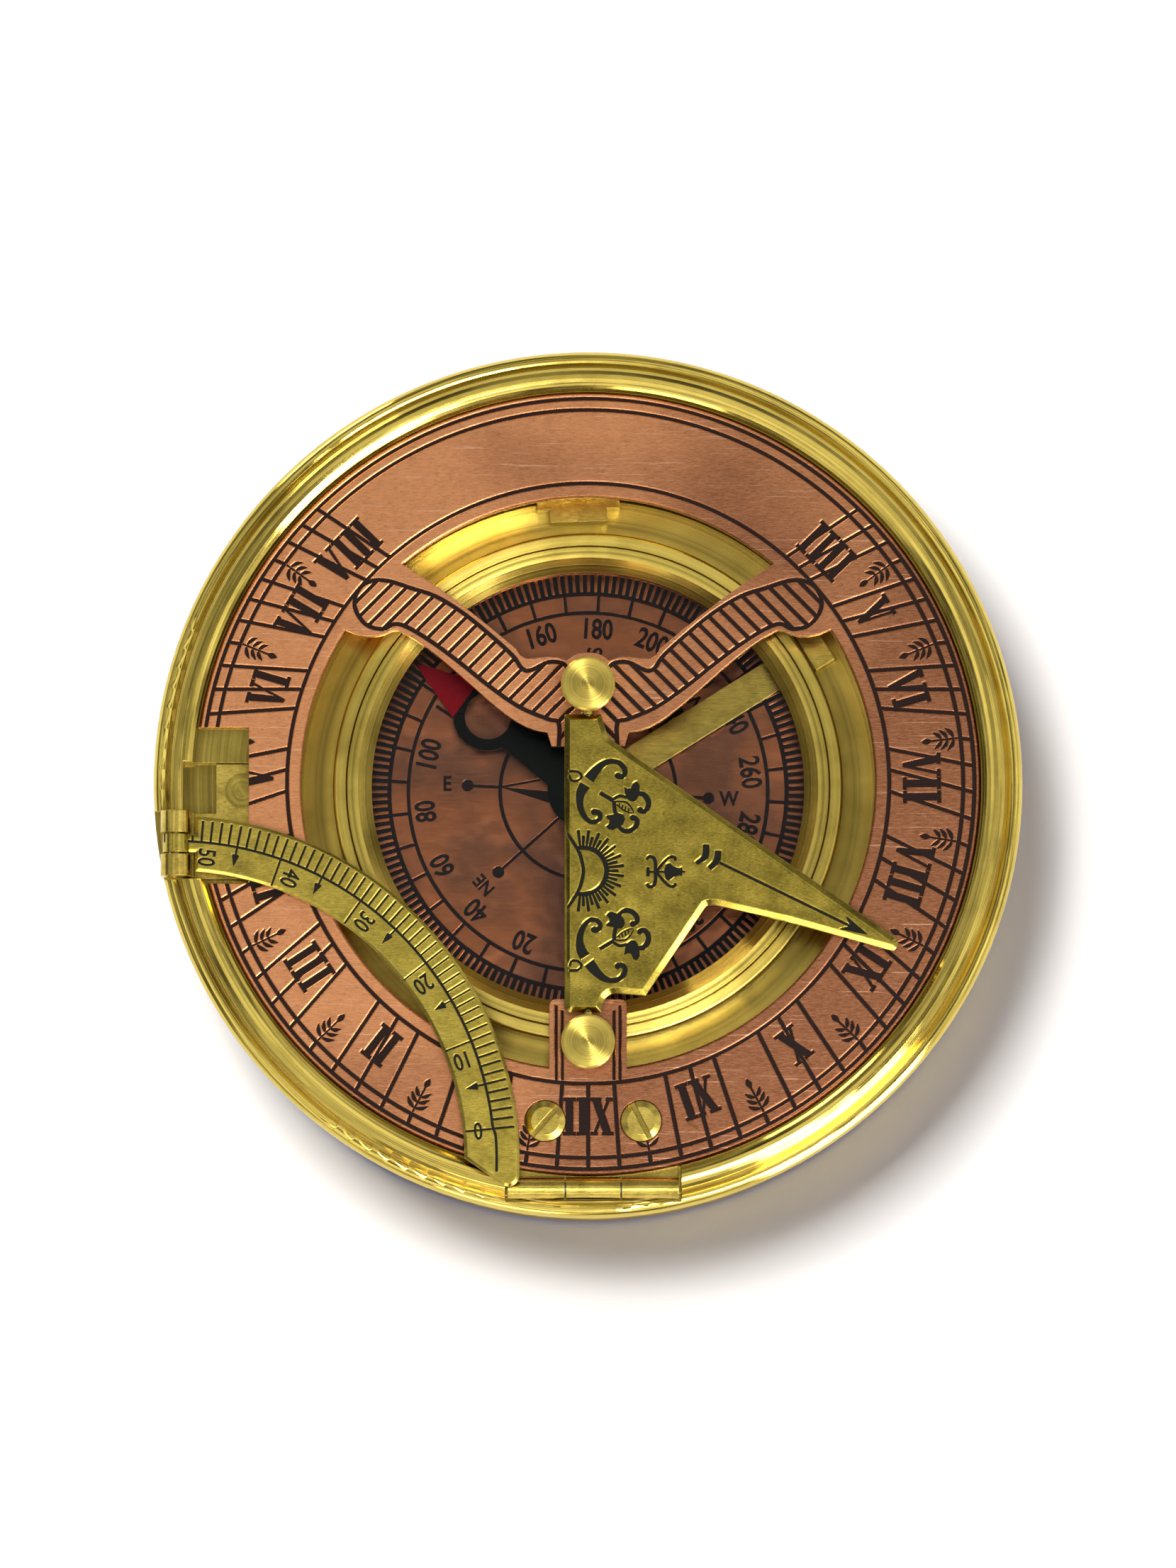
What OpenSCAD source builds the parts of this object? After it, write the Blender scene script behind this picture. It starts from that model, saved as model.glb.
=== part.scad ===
// Sundial compass: a pierced hour dial hinged over a needle compass in a turned brass case.
// The origin is the middle of the underside. Noon is at -Y, where the dial's hinge is.

/* [Case] */
// Radius over the bead round the rim
case_r = 50; // [48:0.5:53]
// Height of the rim above the table
case_h = 26; // [25:0.5:30]
// Radius of the bead's own rounding
bead_r = 1; // [0.7:0.1:1.2]
// Depth of the bead's middle below the rim
bead_drop = 3.05; // [2.8:0.05:3.6]
// How far the plain outer wall lies inside the bead
wall_inset = 1.8; // [1.3:0.1:2.4]
// Thickness of the outer wall
wall_t = 3.2; // [2.8:0.1:4]
// Width of the band between the bead's outside and the rim
step_w = 2.1; // [1.9:0.1:2.6]
// Width of the rim
rim_w = 2.4; // [2:0.1:2.8]
// How far the rim's rounded top drops to its edges
rim_crown = 0.5; // [0.3:0.1:0.7]
// Depth of the deck under the dial, below the rim
deck_drop = 2.8; // [2.6:0.1:3.4]
// Thickness of the deck
deck_t = 3; // [2.5:0.1:4]
// Thickness of the well's wall
well_wall = 2; // [1.6:0.1:3]
// Depth of the shoulder that the compass bowl sits on
shoulder_w = 1.2; // [0.8:0.1:1.6]
// Thickness of the base plate
base_t = 2; // [1.5:0.1:3]

/* [Compass] */
// Depth of the bowl's flange below the deck
well_drop = 11.3; // [11:0.1:12.5]
// Thickness of the bowl's flange
flange_t = 2; // [1.5:0.1:2.4]
// Inner radius of the bowl
bowl_in_r = 26; // [25.5:0.1:26.2]
// Width of the groove between the bezel and the well's wall
groove_w = 4.75; // [4.6:0.05:5]
// Thickness of the bowl's wall
bowl_wall = 2.6; // [2.4:0.1:2.8]
// Height of the bowl's floor, from its underside to the card
bowl_floor_t = 2.6; // [2:0.1:3.2]
// Thickness of the card
card_t = 0.5; // [0.3:0.1:0.7]
// Height of the glass above the bowl's flange
glass_rise = 3.9; // [3.8:0.1:4.6]
// Thickness of the glass
glass_t = 1.2; // [0.8:0.1:1.6]
// Width of the ledge that the glass lies on
glass_ledge = 0.7; // [0.5:0.1:0.9]
// Thickness of the spring ring that holds the glass
glass_ring_t = 0.6; // [0.4:0.1:0.8]
// Width of the spring ring
glass_ring_w = 1.3; // [1:0.1:1.6]
// How far the bezel's opening lies inside the bowl
bezel_lip = 1; // [0.8:0.1:1.6]
// Thickness of the bezel's skirt
bezel_skirt = 0.75; // [0.6:0.05:0.9]
// Height of the bezel above the spring ring
bezel_rise = 1.5; // [1.2:0.1:1.8]
// Width of the bevel round the bezel's opening
bezel_bevel = 1.6; // [1.2:0.1:2]
// Width of the flat between the bevel and the turned line
bezel_flat = 1.2; // [1:0.1:1.4]

/* [Needle] */
// Gap between the needle's point and the bowl
needle_point_gap = 1.4; // [1.2:0.1:3]
// Gap between the needle's tail and the bowl
needle_tail_gap = 3; // [1.5:0.1:6]
// Half the width of the needle's point at its root
needle_point_w = 2.6; // [2:0.1:3]
// Half the width of the needle between the hub and the ring
needle_waist_w = 1.9; // [1.4:0.1:2.2]
// Radius of the ring in the needle's pointed half
needle_ring_r = 4; // [3.4:0.1:4.4]
// Radius of that ring's hole
needle_hole_r = 2.7; // [2.2:0.1:3]
// Distance of that ring from the pivot
needle_ring_at = 14.4; // [13:0.1:15]
// Radius of the needle's hub
needle_hub_r = 4.7; // [4:0.1:5]
// Thickness of the needle
needle_t = 0.5; // [0.3:0.1:0.6]
// Height of the needle's underside above the bowl's flange
needle_rise = 2.35; // [2.3:0.05:2.5]
// Direction of the needle's point, counted from +X
needle_dir = 143.7; // [0:0.1:360]
// Radius of the cap over the pivot
cap_r = 1.8; // [1.5:0.1:2.2]
// Height of the cap
cap_h = 1.15; // [1.1:0.05:1.2]
// Radius of the pivot post
pivot_r = 1.5; // [1.2:0.1:1.7]

/* [Needle lock] */
// Direction of the lever, counted from +X
lever_dir = 32; // [20:1:50]
// Width of the lever
lever_w = 3.7; // [3:0.1:4.2]
// Thickness of the lever
lever_t = 0.8; // [0.6:0.1:0.8]
// Radius of the ring at the lever's inner end
lever_eye_r = 3.6; // [3.2:0.1:4]
// Radius of the hole in that ring
lever_eye_hole = 2.4; // [2.1:0.1:2.6]
// Radius of the lever's pivot pin
lever_pin_r = 0.35; // [0.3:0.01:0.4]
// Length of the lever's pivot pin
lever_pin_l = 8; // [6:0.5:9]
// Radius of the barrel round the pin
lever_barrel_r = 0.7; // [0.6:0.05:0.75]
// Width of the thumb block
tab_w = 4.6; // [4:0.1:5.5]
// Depth of the thumb block
tab_d = 2.6; // [2:0.1:2.9]
// Height of the thumb block
tab_h = 2.8; // [2:0.1:4]

/* [Rest block] */
// Width of the block's flange
rest_w = 9.6; // [8:0.1:11]
// Depth of the block's flange
rest_d = 1.2; // [0.8:0.1:1.5]
// Width of the block's neck
rest_neck_w = 6.7; // [5:0.1:7.5]
// Depth of the block's neck
rest_neck_d = 1.5; // [1:0.1:1.7]
// Height of the block
rest_h = 3.6; // [2:0.1:6]
// Direction of the block, counted from +X
rest_dir = 92; // [85:1:95]

/* [Dial] */
// Thickness of the dial plate
dial_t = 1.5; // [1.2:0.1:1.6]
// How far the dial's inner edge reaches over the well
opening_lip = 1.2; // [0.8:0.1:2]
// Chamfer round the top of the dial plate
dial_chamfer = 0.3; // [0.2:0.1:0.5]
// Half the width of the noon tab
noon_tab_w = 4.45; // [4:0.05:5]
// Length of the noon tab, from the ring
noon_tab_l = 8.1; // [7:0.1:8.4]
// Radius of the noon tab's corners
noon_tab_corner = 0.8; // [0.4:0.1:1.2]
// Half the width of the bridge's stem
stem_w = 4.2; // [3.6:0.1:4.6]
// Distance of the stem's end from the middle
stem_end = 4.2; // [3.6:0.1:4.6]
// How far the gap for the arc's foot reaches past the middle line of the ring
notch_in = 0.1; // [0:0.1:0.6]
// Gap between the foot's pocket and the noonward side of that gap
notch_near = 0.5; // [0.3:0.1:1]
// Gap between the foot's pocket and the far side of that gap
notch_far = 4; // [3:0.1:5]

/* [Dial hinge] */
// Distance of the hinge axis outside the rim's inner edge
hinge_out = 1.1; // [1:0.1:1.6]
// Depth of the hinge axis below the rim
hinge_drop = 1.5; // [1.4:0.05:1.6]
// Sideways place of the hinge's middle
hinge_x = 0.6; // [-1:0.1:1]
// Length of the whole hinge
hinge_l = 19.6; // [18:0.1:20]
// Length of the middle knuckle
knuckle_mid = 6.2; // [5:0.1:7]
// Radius of the knuckles
knuckle_r = 1.2; // [1.1:0.05:1.25]
// Radius of the hinge pin
hinge_pin_r = 0.6; // [0.5:0.05:0.7]
// Thickness of the leaf under the dial
leaf_t = 0.9; // [0.7:0.1:1]
// Distance from the well to the leaf's end
leaf_land = 1.5; // [1:0.1:2]
// Distance between the two dial screws
screw_gap = 11; // [10:0.1:12]
// How far the dial screws lie inside the middle line of the ring
screw_in = 0.2; // [0:0.1:0.5]
// Radius of the dial screws' heads
screw_head_r = 2.3; // [2:0.1:2.4]
// Radius of the dial screws' shanks
screw_r = 1.1; // [0.9:0.05:1.2]

/* [Gnomon] */
// Reach of the gnomon's point from its axis
gnomon_reach = 35.5; // [34.5:0.1:36]
// Distance of that point from the middle, noonward
gnomon_tip_at = 18.7; // [18:0.1:19.4]
// Thickness of the gnomon
gnomon_t = 1.5; // [1.3:0.1:1.8]
// Height of the gnomon's axis above the dial
gnomon_rise = 3.05; // [3:0.05:3.5]
// Width of the gnomon on the near side of its axis
gnomon_back = 2.7; // [2:0.1:2.7]
// Place of the far post, from the middle
post_far = 11; // [10.5:0.1:11.5]
// Place of the noon post, from the middle
post_noon = 30; // [29.7:0.1:30.4]
// Radius of the posts' heads
post_head_r = 3.1; // [2.8:0.1:3.2]
// Thickness of the posts' heads
post_head_t = 1.5; // [1:0.1:2]
// Radius of the posts
post_r = 2; // [1.7:0.1:2.2]
// Radius of the pegs that fix the posts in the dial
post_peg_r = 1.2; // [1:0.1:1.4]
// Radius of the gnomon's pivots
gnomon_pin_r = 0.55; // [0.45:0.05:0.6]
// Length of each pivot inside the gnomon
gnomon_pin_in = 3; // [2:0.1:4]

/* [Latitude arc] */
// Outer radius of the arc
arc_out_r = 39.6; // [39:0.1:40]
// Width of the arc
arc_w = 6.3; // [5.8:0.1:6.6]
// Thickness of the arc
arc_t = 1.4; // [1.2:0.1:1.6]
// Gap between the rim and the folded arc
arc_gap = 0.35; // [0.3:0.05:0.6]
// Distance of the arc's pivot outside the rim's inner edge
arc_pivot_out = 1.8; // [1.6:0.1:2]
// Distance of the arc's own centre from the hinge axis
arc_mid_in = 3; // [2.6:0.1:3.4]
// Rounding of the arc's tip
arc_tip_r = 1.3; // [1:0.1:1.6]
// Direction of the arc's tip from its centre
arc_tip_turn = -2.4; // [-4:0.1:0]
// Direction of the inner end of the clip across the arc's tip
arc_clip_turn = 1; // [0:0.1:2]
// Width of the arc's tongue
tongue_w = 2.1; // [1.8:0.1:2.2]
// Radius of the tongue's barrel
tongue_r = 1.45; // [1.3:0.05:1.5]
// Width of each lug of the bracket
lug_w = 2.5; // [2:0.1:2.6]
// Radius of the lugs' round tops
lug_r = 1.7; // [1.6:0.05:1.8]
// Radius of the arc's pivot pin
arc_pin_r = 0.7; // [0.6:0.05:0.8]
// Thickness of the bracket's foot
foot_t = 1.1; // [0.9:0.1:1.2]
// Reach of the bracket's foot from the pivot, away from noon
foot_reach = 9.55; // [9:0.05:10]
// How far the foot's pocket goes under the dial
foot_under = 1.4; // [1:0.1:1.8]
// Width of the foot that shows in the gap of the dial
foot_w = 3.8; // [3:0.1:4.4]
// Depth of the foot's pocket below the deck
pocket_depth = 1.6; // [1.6:0.1:2]
// Radius of the bracket screw's head
foot_screw_r = 1.95; // [1.6:0.05:2.1]

/* [Clearances] */
// Gap between pieces that move past each other
move_gap = 0.3; // [0.25:0.05:0.4]
// Gap beside a turning knuckle, barrel or tongue
side_gap = 0.2; // [0.15:0.05:0.3]
// Radial gap of a pin in the hole that it turns in
pin_gap = 0.05; // [0.03:0.01:0.08]
// Gap round a piece that is laid in its seat
seat_gap = 0.1; // [0.05:0.05:0.15]

/* [Hidden] */

$fn = 96;
eps = 0.01;
past = 1;
edge_break = 0.2;
pin_end_gap = 0.4;
brass = "#b8a24a";
copper = "#b9785a";

// Case
wall_r = case_r - wall_inset;
base_r = case_r - bead_r / 2;
bead_mid_r = case_r - bead_r;
bead_z = case_h - bead_drop;
rim_out_r = case_r - step_w;
rim_in_r = rim_out_r - rim_w;
rim_break = 0.3;
deck_z = case_h - deck_drop;

// Compass
flange_z = deck_z - well_drop;
bowl_z = flange_z - flange_t;
bowl_out_r = bowl_in_r + bowl_wall;
bezel_in_r = bowl_in_r - bezel_lip;
bezel_out_r = bowl_out_r + seat_gap + bezel_skirt;
well_r = bezel_out_r + groove_w;
bowl_foot = 1.9;
floor_z = bowl_z - bowl_foot;
pivot_sink = 2;
rest_bow = 0.4;
card_z = floor_z + bowl_floor_t;
card_r = bowl_in_r - seat_gap;
glass_z = flange_z + glass_rise;
glass_seat_r = bowl_in_r + glass_ledge;
glass_ring_z = glass_z + glass_t;
spring_gap = 0.8;
bowl_top = glass_ring_z + glass_ring_t;
bezel_top = bowl_top + bezel_rise;
bezel_land = 0.3;
bezel_round = 0.4;
line_w = 0.2;
line_depth = 0.45;
needle_z = flange_z + needle_rise;
needle_north = bowl_in_r - needle_point_gap;
needle_south = bowl_in_r - needle_tail_gap;
needle_end_w = 0.25;
pivot_in_cap = 0.45;
pivot_tip = needle_z + pivot_in_cap;
pivot_neck = 0.6;
pivot_cone_r = 0.9;
pivot_tip_r = 0.12;
cap_cup_r = 0.95;
cap_cup_h = 0.8;
cap_step = 0.4;

// Needle lock
lever_pin_at = bowl_in_r + bowl_wall / 2;
lever_axis_z = flange_z + side_gap + lever_barrel_r;
lever_z = flange_z + side_gap;
slot_top = lever_axis_z + lever_barrel_r + side_gap;
bezel_low = slot_top + move_gap;
tab_in = bezel_out_r + move_gap;
tab_rise = 0.4;
tab_z = flange_z + tab_rise;

// Dial
dial_r = rim_in_r - move_gap;
opening_r = well_r - opening_lip;
ring_mid = (opening_r + dial_r) / 2;
noon_tab_end = opening_r - noon_tab_l;
dial_z = deck_z + side_gap;
dial_top = dial_z + dial_t;

// Dial hinge
hinge_at = rim_in_r + hinge_out;
hinge_z = case_h - hinge_drop;
leaf_z = dial_z - leaf_t;
leaf_pocket_z = leaf_z - move_gap;
leaf_start = hinge_at - knuckle_r - seat_gap;
leaf_l = leaf_start - well_r - leaf_land;
screw_at = ring_mid - screw_in;
tang_t = 1.2;
tang_depth = 3;
screw_sink = 0.6;
screw_dome = 0.7;
screw_crown = 0.3;
screw_slot = 0.6;
screw_turn_left = 48;
screw_turn_right = -63;

// Gnomon
gnomon_z = dial_top + gnomon_rise;
post_top_z = gnomon_z + gnomon_t / 2 + move_gap;
peg_rivet = 0.5;
gnomon_far = post_far - post_head_r - move_gap;
gnomon_noon = post_noon - post_head_r - move_gap;

// Latitude arc
arc_z = case_h + arc_gap;
arc_axis_z = arc_z + arc_t / 2;
arc_in_r = arc_out_r - arc_w;
arc_mid_r = (arc_out_r + arc_in_r) / 2;
arc_pivot_x = rim_in_r + arc_pivot_out;
arc_mid_out = 0.1;
arc_mid = [-arc_pivot_x - arc_mid_out, -hinge_at + arc_mid_in];
arc_pivot_y = -arc_mid[1] - arc_mid_r;
arc_start = arc_pivot_x - lug_r - 2 * move_gap;
lug_inner = tongue_w / 2 + side_gap;
lug_outer = lug_inner + lug_w;
notch_x = ring_mid - notch_in;
pocket_z = deck_z - pocket_depth;
pocket_land = 1;
pocket_left = rim_in_r + pocket_land;
pocket_right = notch_x - foot_under;
pocket_high = foot_reach - arc_pivot_y;
pocket_low = arc_pivot_y + lug_outer + side_gap;
notch_low = pocket_low + notch_near;
notch_high = pocket_high + notch_far;
foot_screw_in = 0.8;
foot_screw_far = 3.2;
foot_screw = [-notch_x - foot_screw_in, pocket_high - foot_screw_far];
foot_shank_r = 0.8;
foot_screw_head = 0.3;
foot_screw_grip = 1.4;
foot_left = notch_x + foot_w;
lug_base = 1;

// Points on a circle between two angles
function arc(mid, r, from, to, n) =
    [for (i = [0:n]) mid + r * [cos(from + (to - from) * i / n), sin(from + (to - from) * i / n)]];

// Points on a cubic curve
function curve(a, b, c, d, n) =
    [for (i = [0:n]) let (t = i / n, u = 1 - t)
        u * u * u * a + 3 * u * u * t * b + 3 * u * t * t * c + t * t * t * d];

// A cylinder along Y, from one place to another
module along_y(r, from, to) {
    translate([0, from, 0]) rotate([-90, 0, 0]) cylinder(r = r, h = to - from);
}

// A cylinder along X, from one place to another
module along_x(r, from, to) {
    translate([from, 0, 0]) rotate([0, 90, 0]) cylinder(r = r, h = to - from);
}

// A box between two corners
module block(low, high) {
    translate(low) cube(high - low);
}

module base_plate() {
    color(brass)
    rotate_extrude()
    union() {
        square([base_r - base_t / 2, base_t]);
        translate([base_r - base_t / 2, base_t / 2]) circle(r = base_t / 2);
    }
}

// Half the section of the case, without its bead
module case_section() {
    low_r = well_r - shoulder_w;
    shell_r = well_r + well_wall;
    edge_z = case_h - rim_crown;
    shoulder = rim_w / 4;
    rise = rim_crown / 3;
    polygon(concat(
        [
            [low_r, base_t],
            [shell_r, base_t],
            [shell_r, deck_z - deck_t],
            [wall_r - wall_t, deck_z - deck_t],
            [wall_r - wall_t, base_t],
            [wall_r, base_t],
            [wall_r, bead_z]
        ],
        // the hollow between the bead and the rim
        curve([bead_mid_r, bead_z] + bead_r * [-0.35, 0.9], [rim_out_r, bead_z] + bead_r * [0.45, 1.35],
            [rim_out_r, case_h] + bead_r * [0.15, -1.2], [rim_out_r, edge_z - edge_break], 6),
        // the rounded top of the rim
        curve([rim_out_r, edge_z], [rim_out_r - shoulder, case_h + rise],
            [rim_in_r + shoulder, case_h + rise], [rim_in_r, edge_z], 6),
        [
            [rim_in_r, deck_z],
            [well_r + rim_break, deck_z],
            [well_r, deck_z - rim_break],
            [well_r, bowl_z],
            [low_r, bowl_z]
        ]
    ));
}

module case_body() {
    color(brass)
    difference() {
        rotate_extrude() {
            union() {
                case_section();
                translate([bead_mid_r, bead_z]) circle(r = bead_r);
            }
        }
        hinge_slot();
        arc_pocket();
    }
}

// The cut in the rim for the knuckles, and in the deck for the leaf
module hinge_slot() {
    half = hinge_l / 2 + move_gap;
    block([hinge_x - half, -hinge_at - knuckle_r - move_gap, leaf_pocket_z],
        [hinge_x + half, -leaf_start + leaf_l + move_gap, case_h + past]);
    tang = knuckle_mid / 2 + seat_gap;
    block([hinge_x - tang, -hinge_at - tang_t / 2 - seat_gap, leaf_pocket_z - tang_depth],
        [hinge_x + tang, -hinge_at + tang_t / 2 + seat_gap, case_h]);
}

// The cut in the rim and the deck for the arc's bracket
module arc_pocket() {
    block([-pocket_left, -pocket_low, pocket_z], [-pocket_right, pocket_high, case_h + past]);
    block([-case_r - past, -pocket_low, deck_z],
        [-pocket_left + eps, -arc_pivot_y + lug_outer + side_gap, case_h + past]);
    translate([foot_screw[0], foot_screw[1], pocket_z - foot_screw_grip])
        cylinder(r = foot_shank_r, h = foot_screw_grip + past);
}

module rest_block() {
    outer = well_r;
    inner = outer - rest_d - rest_bow;
    color(brass)
    rotate([0, 0, rest_dir])
    intersection() {
        union() {
            block([inner, -rest_w / 2, flange_z], [outer, rest_w / 2, flange_z + rest_h]);
            block([inner - rest_neck_d, -rest_neck_w / 2, flange_z],
                [inner, rest_neck_w / 2, flange_z + rest_h]);
        }
        // the outer face follows the well's wall
        cylinder(r = well_r - seat_gap, h = case_h);
    }
}

module compass_bowl() {
    flange_r = well_r - seat_gap;
    color(brass)
    difference() {
        rotate_extrude()
        polygon([
            [0, floor_z],
            [bowl_out_r, floor_z],
            [bowl_out_r, bowl_z],
            [flange_r, bowl_z],
            [flange_r, flange_z - edge_break],
            [flange_r - edge_break, flange_z],
            [bowl_out_r, flange_z],
            [bowl_out_r, bowl_top],
            [glass_seat_r, bowl_top],
            [glass_seat_r, glass_z],
            [bowl_in_r, glass_z],
            [bowl_in_r, card_z],
            [0, card_z]
        ]);
        translate([0, 0, card_z - pivot_sink]) cylinder(r = pivot_r, h = pivot_sink + past);
        rotate([0, 0, lever_dir]) lever_slot();
    }
}

// The way through the bowl's wall for the lever and its pin
module lever_slot() {
    half = lever_w / 2 + side_gap;
    block([bowl_in_r - past, -half, flange_z], [bowl_out_r + past, half, slot_top]);
    translate([lever_pin_at, 0, lever_axis_z])
        along_y(lever_pin_r, -lever_pin_l / 2, lever_pin_l / 2);
}

module compass_card() {
    color(copper)
    difference() {
        translate([0, 0, card_z]) cylinder(r = card_r, h = card_t);
        translate([0, 0, card_z - past]) cylinder(r = pivot_r, h = card_t + 2 * past);
    }
}

module needle_pivot() {
    low = card_z - pivot_sink;
    neck = card_z + card_t + pivot_neck;
    color(brass)
    union() {
        translate([0, 0, low]) cylinder(r = pivot_r, h = neck - low);
        translate([0, 0, neck - eps])
            cylinder(r1 = pivot_cone_r, r2 = pivot_tip_r, h = pivot_tip - neck + eps);
    }
}

module glass() {
    color("#dfe9e6", 0.3)
    translate([0, 0, glass_z]) cylinder(r = glass_seat_r - seat_gap, h = glass_t);
}

module glass_ring() {
    out_r = glass_seat_r - seat_gap;
    color(brass)
    translate([0, 0, glass_ring_z])
    difference() {
        cylinder(r = out_r, h = glass_ring_t);
        translate([0, 0, -past]) cylinder(r = out_r - glass_ring_w, h = glass_ring_t + 2 * past);
        // the gap that lets the ring spring in
        block([0, -spring_gap / 2, -past], [out_r + past, spring_gap / 2, glass_ring_t + past]);
    }
}

module bezel_ring() {
    bore_r = bowl_out_r + seat_gap;
    bevel_r = bezel_in_r + bezel_bevel;
    line_r = bevel_r + bezel_flat;
    outer_top = bezel_top - edge_break;
    color(brass)
    rotate_extrude()
    polygon(concat(
        [
            [bezel_in_r, bowl_top],
            [bore_r, bowl_top],
            [bore_r, bezel_low],
            [bezel_out_r, bezel_low]
        ],
        arc([bezel_out_r - bezel_round, outer_top - bezel_round], bezel_round, 0, 90, 4),
        [
            [line_r + line_w, outer_top],
            [line_r + line_w / 2, bezel_top - line_depth],
            [line_r, bezel_top],
            [bevel_r, bezel_top],
            [bezel_in_r, bowl_top + bezel_land]
        ]
    ));
}

module lever_pin() {
    color(brass)
    rotate([0, 0, lever_dir])
    translate([lever_pin_at, 0, lever_axis_z])
        along_y(lever_pin_r, -lever_pin_l / 2, lever_pin_l / 2);
}

module lock_lever() {
    half = lever_w / 2;
    color(brass)
    rotate([0, 0, lever_dir])
    difference() {
        union() {
            translate([0, 0, lever_z]) cylinder(r = lever_eye_r, h = lever_t);
            block([0, -half, lever_z], [tab_in + tab_d / 2, half, lever_z + lever_t]);
            translate([lever_pin_at, 0, lever_axis_z]) along_y(lever_barrel_r, -half, half);
        }
        translate([0, 0, lever_z - past]) cylinder(r = lever_eye_hole, h = lever_t + 2 * past);
        translate([lever_pin_at, 0, lever_axis_z])
            along_y(lever_pin_r + pin_gap, -half - past, half + past);
        // the underside is relieved where the thumb block goes down
        block([tab_in - move_gap, -half - past, lever_z - past], [case_r, half + past, tab_z]);
    }
}

module lever_tab() {
    color(brass)
    rotate([0, 0, lever_dir])
    difference() {
        block([tab_in, -tab_w / 2, tab_z], [tab_in + tab_d, tab_w / 2, tab_z + tab_h]);
        block([tab_in - past, -lever_w / 2, tab_z - past],
            [tab_in + tab_d / 2, lever_w / 2, lever_z + lever_t]);
    }
}

// The needle's outline, with its point along +X
module needle_outline() {
    root = needle_ring_at + sqrt(needle_ring_r * needle_ring_r - needle_point_w * needle_point_w) - eps;
    waist = needle_ring_at - sqrt(needle_ring_r * needle_ring_r - needle_waist_w * needle_waist_w) + eps;
    barb_w = needle_point_w - needle_end_w;
    difference() {
        union() {
            circle(r = needle_hub_r);
            polygon([
                [0, -needle_point_w],
                [waist, -needle_waist_w],
                [waist, needle_waist_w],
                [0, needle_point_w]
            ]);
            translate([needle_ring_at, 0]) circle(r = needle_ring_r);
            polygon([
                [root, -needle_point_w],
                [needle_north - needle_end_w, -needle_end_w],
                [needle_north, 0],
                [needle_north - needle_end_w, needle_end_w],
                [root, needle_point_w]
            ]);
            polygon([
                [0, needle_point_w],
                [-needle_south * 0.55, barb_w / 2],
                [-needle_south * 0.62, barb_w],
                [-needle_south, needle_end_w],
                [-needle_south, -needle_end_w],
                [-needle_south * 0.62, -barb_w],
                [-needle_south * 0.55, -barb_w / 2],
                [0, -needle_point_w]
            ]);
        }
        translate([needle_ring_at, 0]) circle(r = needle_hole_r);
        circle(r = cap_r - cap_step);
    }
}

module needle() {
    color("#1c1c1e")
    rotate([0, 0, needle_dir])
        translate([0, 0, needle_z]) linear_extrude(needle_t) needle_outline();
}

module needle_cap() {
    color(brass)
    difference() {
        union() {
            translate([0, 0, needle_z]) cylinder(r = cap_r - cap_step, h = cap_h);
            translate([0, 0, needle_z + needle_t])
                cylinder(r = cap_r, h = cap_h - needle_t - edge_break);
        }
        // the cup that rides on the pivot's point
        translate([0, 0, needle_z - eps])
            cylinder(r1 = cap_cup_r, r2 = pivot_tip_r, h = cap_cup_h);
    }
}

// Half the pierced bridge, on the far side of the compass, in hundredths of the opening's radius
function wing_top() = concat(
    curve([-71.2, 80.3], [-51.5, 69], [-36.4, 56.4], [-25.2, 46.9], 8),
    curve([-23.6, 44.5], [-20.3, 41.2], [-14.5, 46.4], [-7.3, 42.7], 6),
    curve([-5.8, 43.9], [-3.9, 45.5], [-1.8, 45.5], [0, 45.5], 3)
);

function wing_low() = concat(
    curve([-14.2, 17.6], [-21.8, 18.2], [-27.3, 22.4], [-36.4, 30.3], 6),
    curve([-37, 30.9], [-46.1, 38.8], [-55.8, 48.5], [-66.1, 53.3], 6),
    curve([-68.5, 53], [-72.7, 50.3], [-80, 49.7], [-89.4, 56.4], 6),
    [[-94, 60.6], [-78.8, 84.8]]
);

module bridge_outline() {
    unit = opening_r / 100;
    half = concat([for (p = concat(wing_low(), wing_top())) unit * p], [[0, stem_end], [-stem_w, stem_end]]);
    intersection() {
        union() {
            for (side = [0, 1]) mirror([side, 0]) polygon(half);
        }
        circle(r = opening_r + past);
    }
}

module noon_tab_outline() {
    corner = noon_tab_corner;
    mid = noon_tab_w - corner;
    polygon(concat(
        [[-noon_tab_w, -opening_r - past], [noon_tab_w, -opening_r - past]],
        arc([mid, -noon_tab_end - corner], corner, 0, 90, 6),
        arc([-mid, -noon_tab_end - corner], corner, 90, 180, 6)
    ));
}

module dial_plate() {
    color(copper)
    difference() {
        union() {
            rotate_extrude()
            polygon([
                [opening_r, dial_z],
                [dial_r, dial_z],
                [dial_r, dial_top - dial_chamfer],
                [dial_r - dial_chamfer, dial_top],
                [opening_r + edge_break, dial_top],
                [opening_r, dial_top - edge_break]
            ]);
            translate([0, 0, dial_z]) linear_extrude(dial_t) bridge_outline();
            translate([0, 0, dial_z]) linear_extrude(dial_t) noon_tab_outline();
        }
        block([-case_r, -notch_low, dial_z - past], [-notch_x, notch_high, dial_top + past]);
        for (side = [-1, 1]) translate([hinge_x + side * screw_gap / 2, -screw_at, 0]) {
            translate([0, 0, dial_z - past]) cylinder(r = screw_r, h = dial_t + 2 * past);
            translate([0, 0, dial_top - screw_sink])
                cylinder(r = screw_head_r + seat_gap, h = screw_sink + past);
        }
        for (y = [post_far, -post_noon])
            translate([0, y, dial_z - past]) cylinder(r = post_peg_r, h = dial_t + 2 * past);
    }
}

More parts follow.
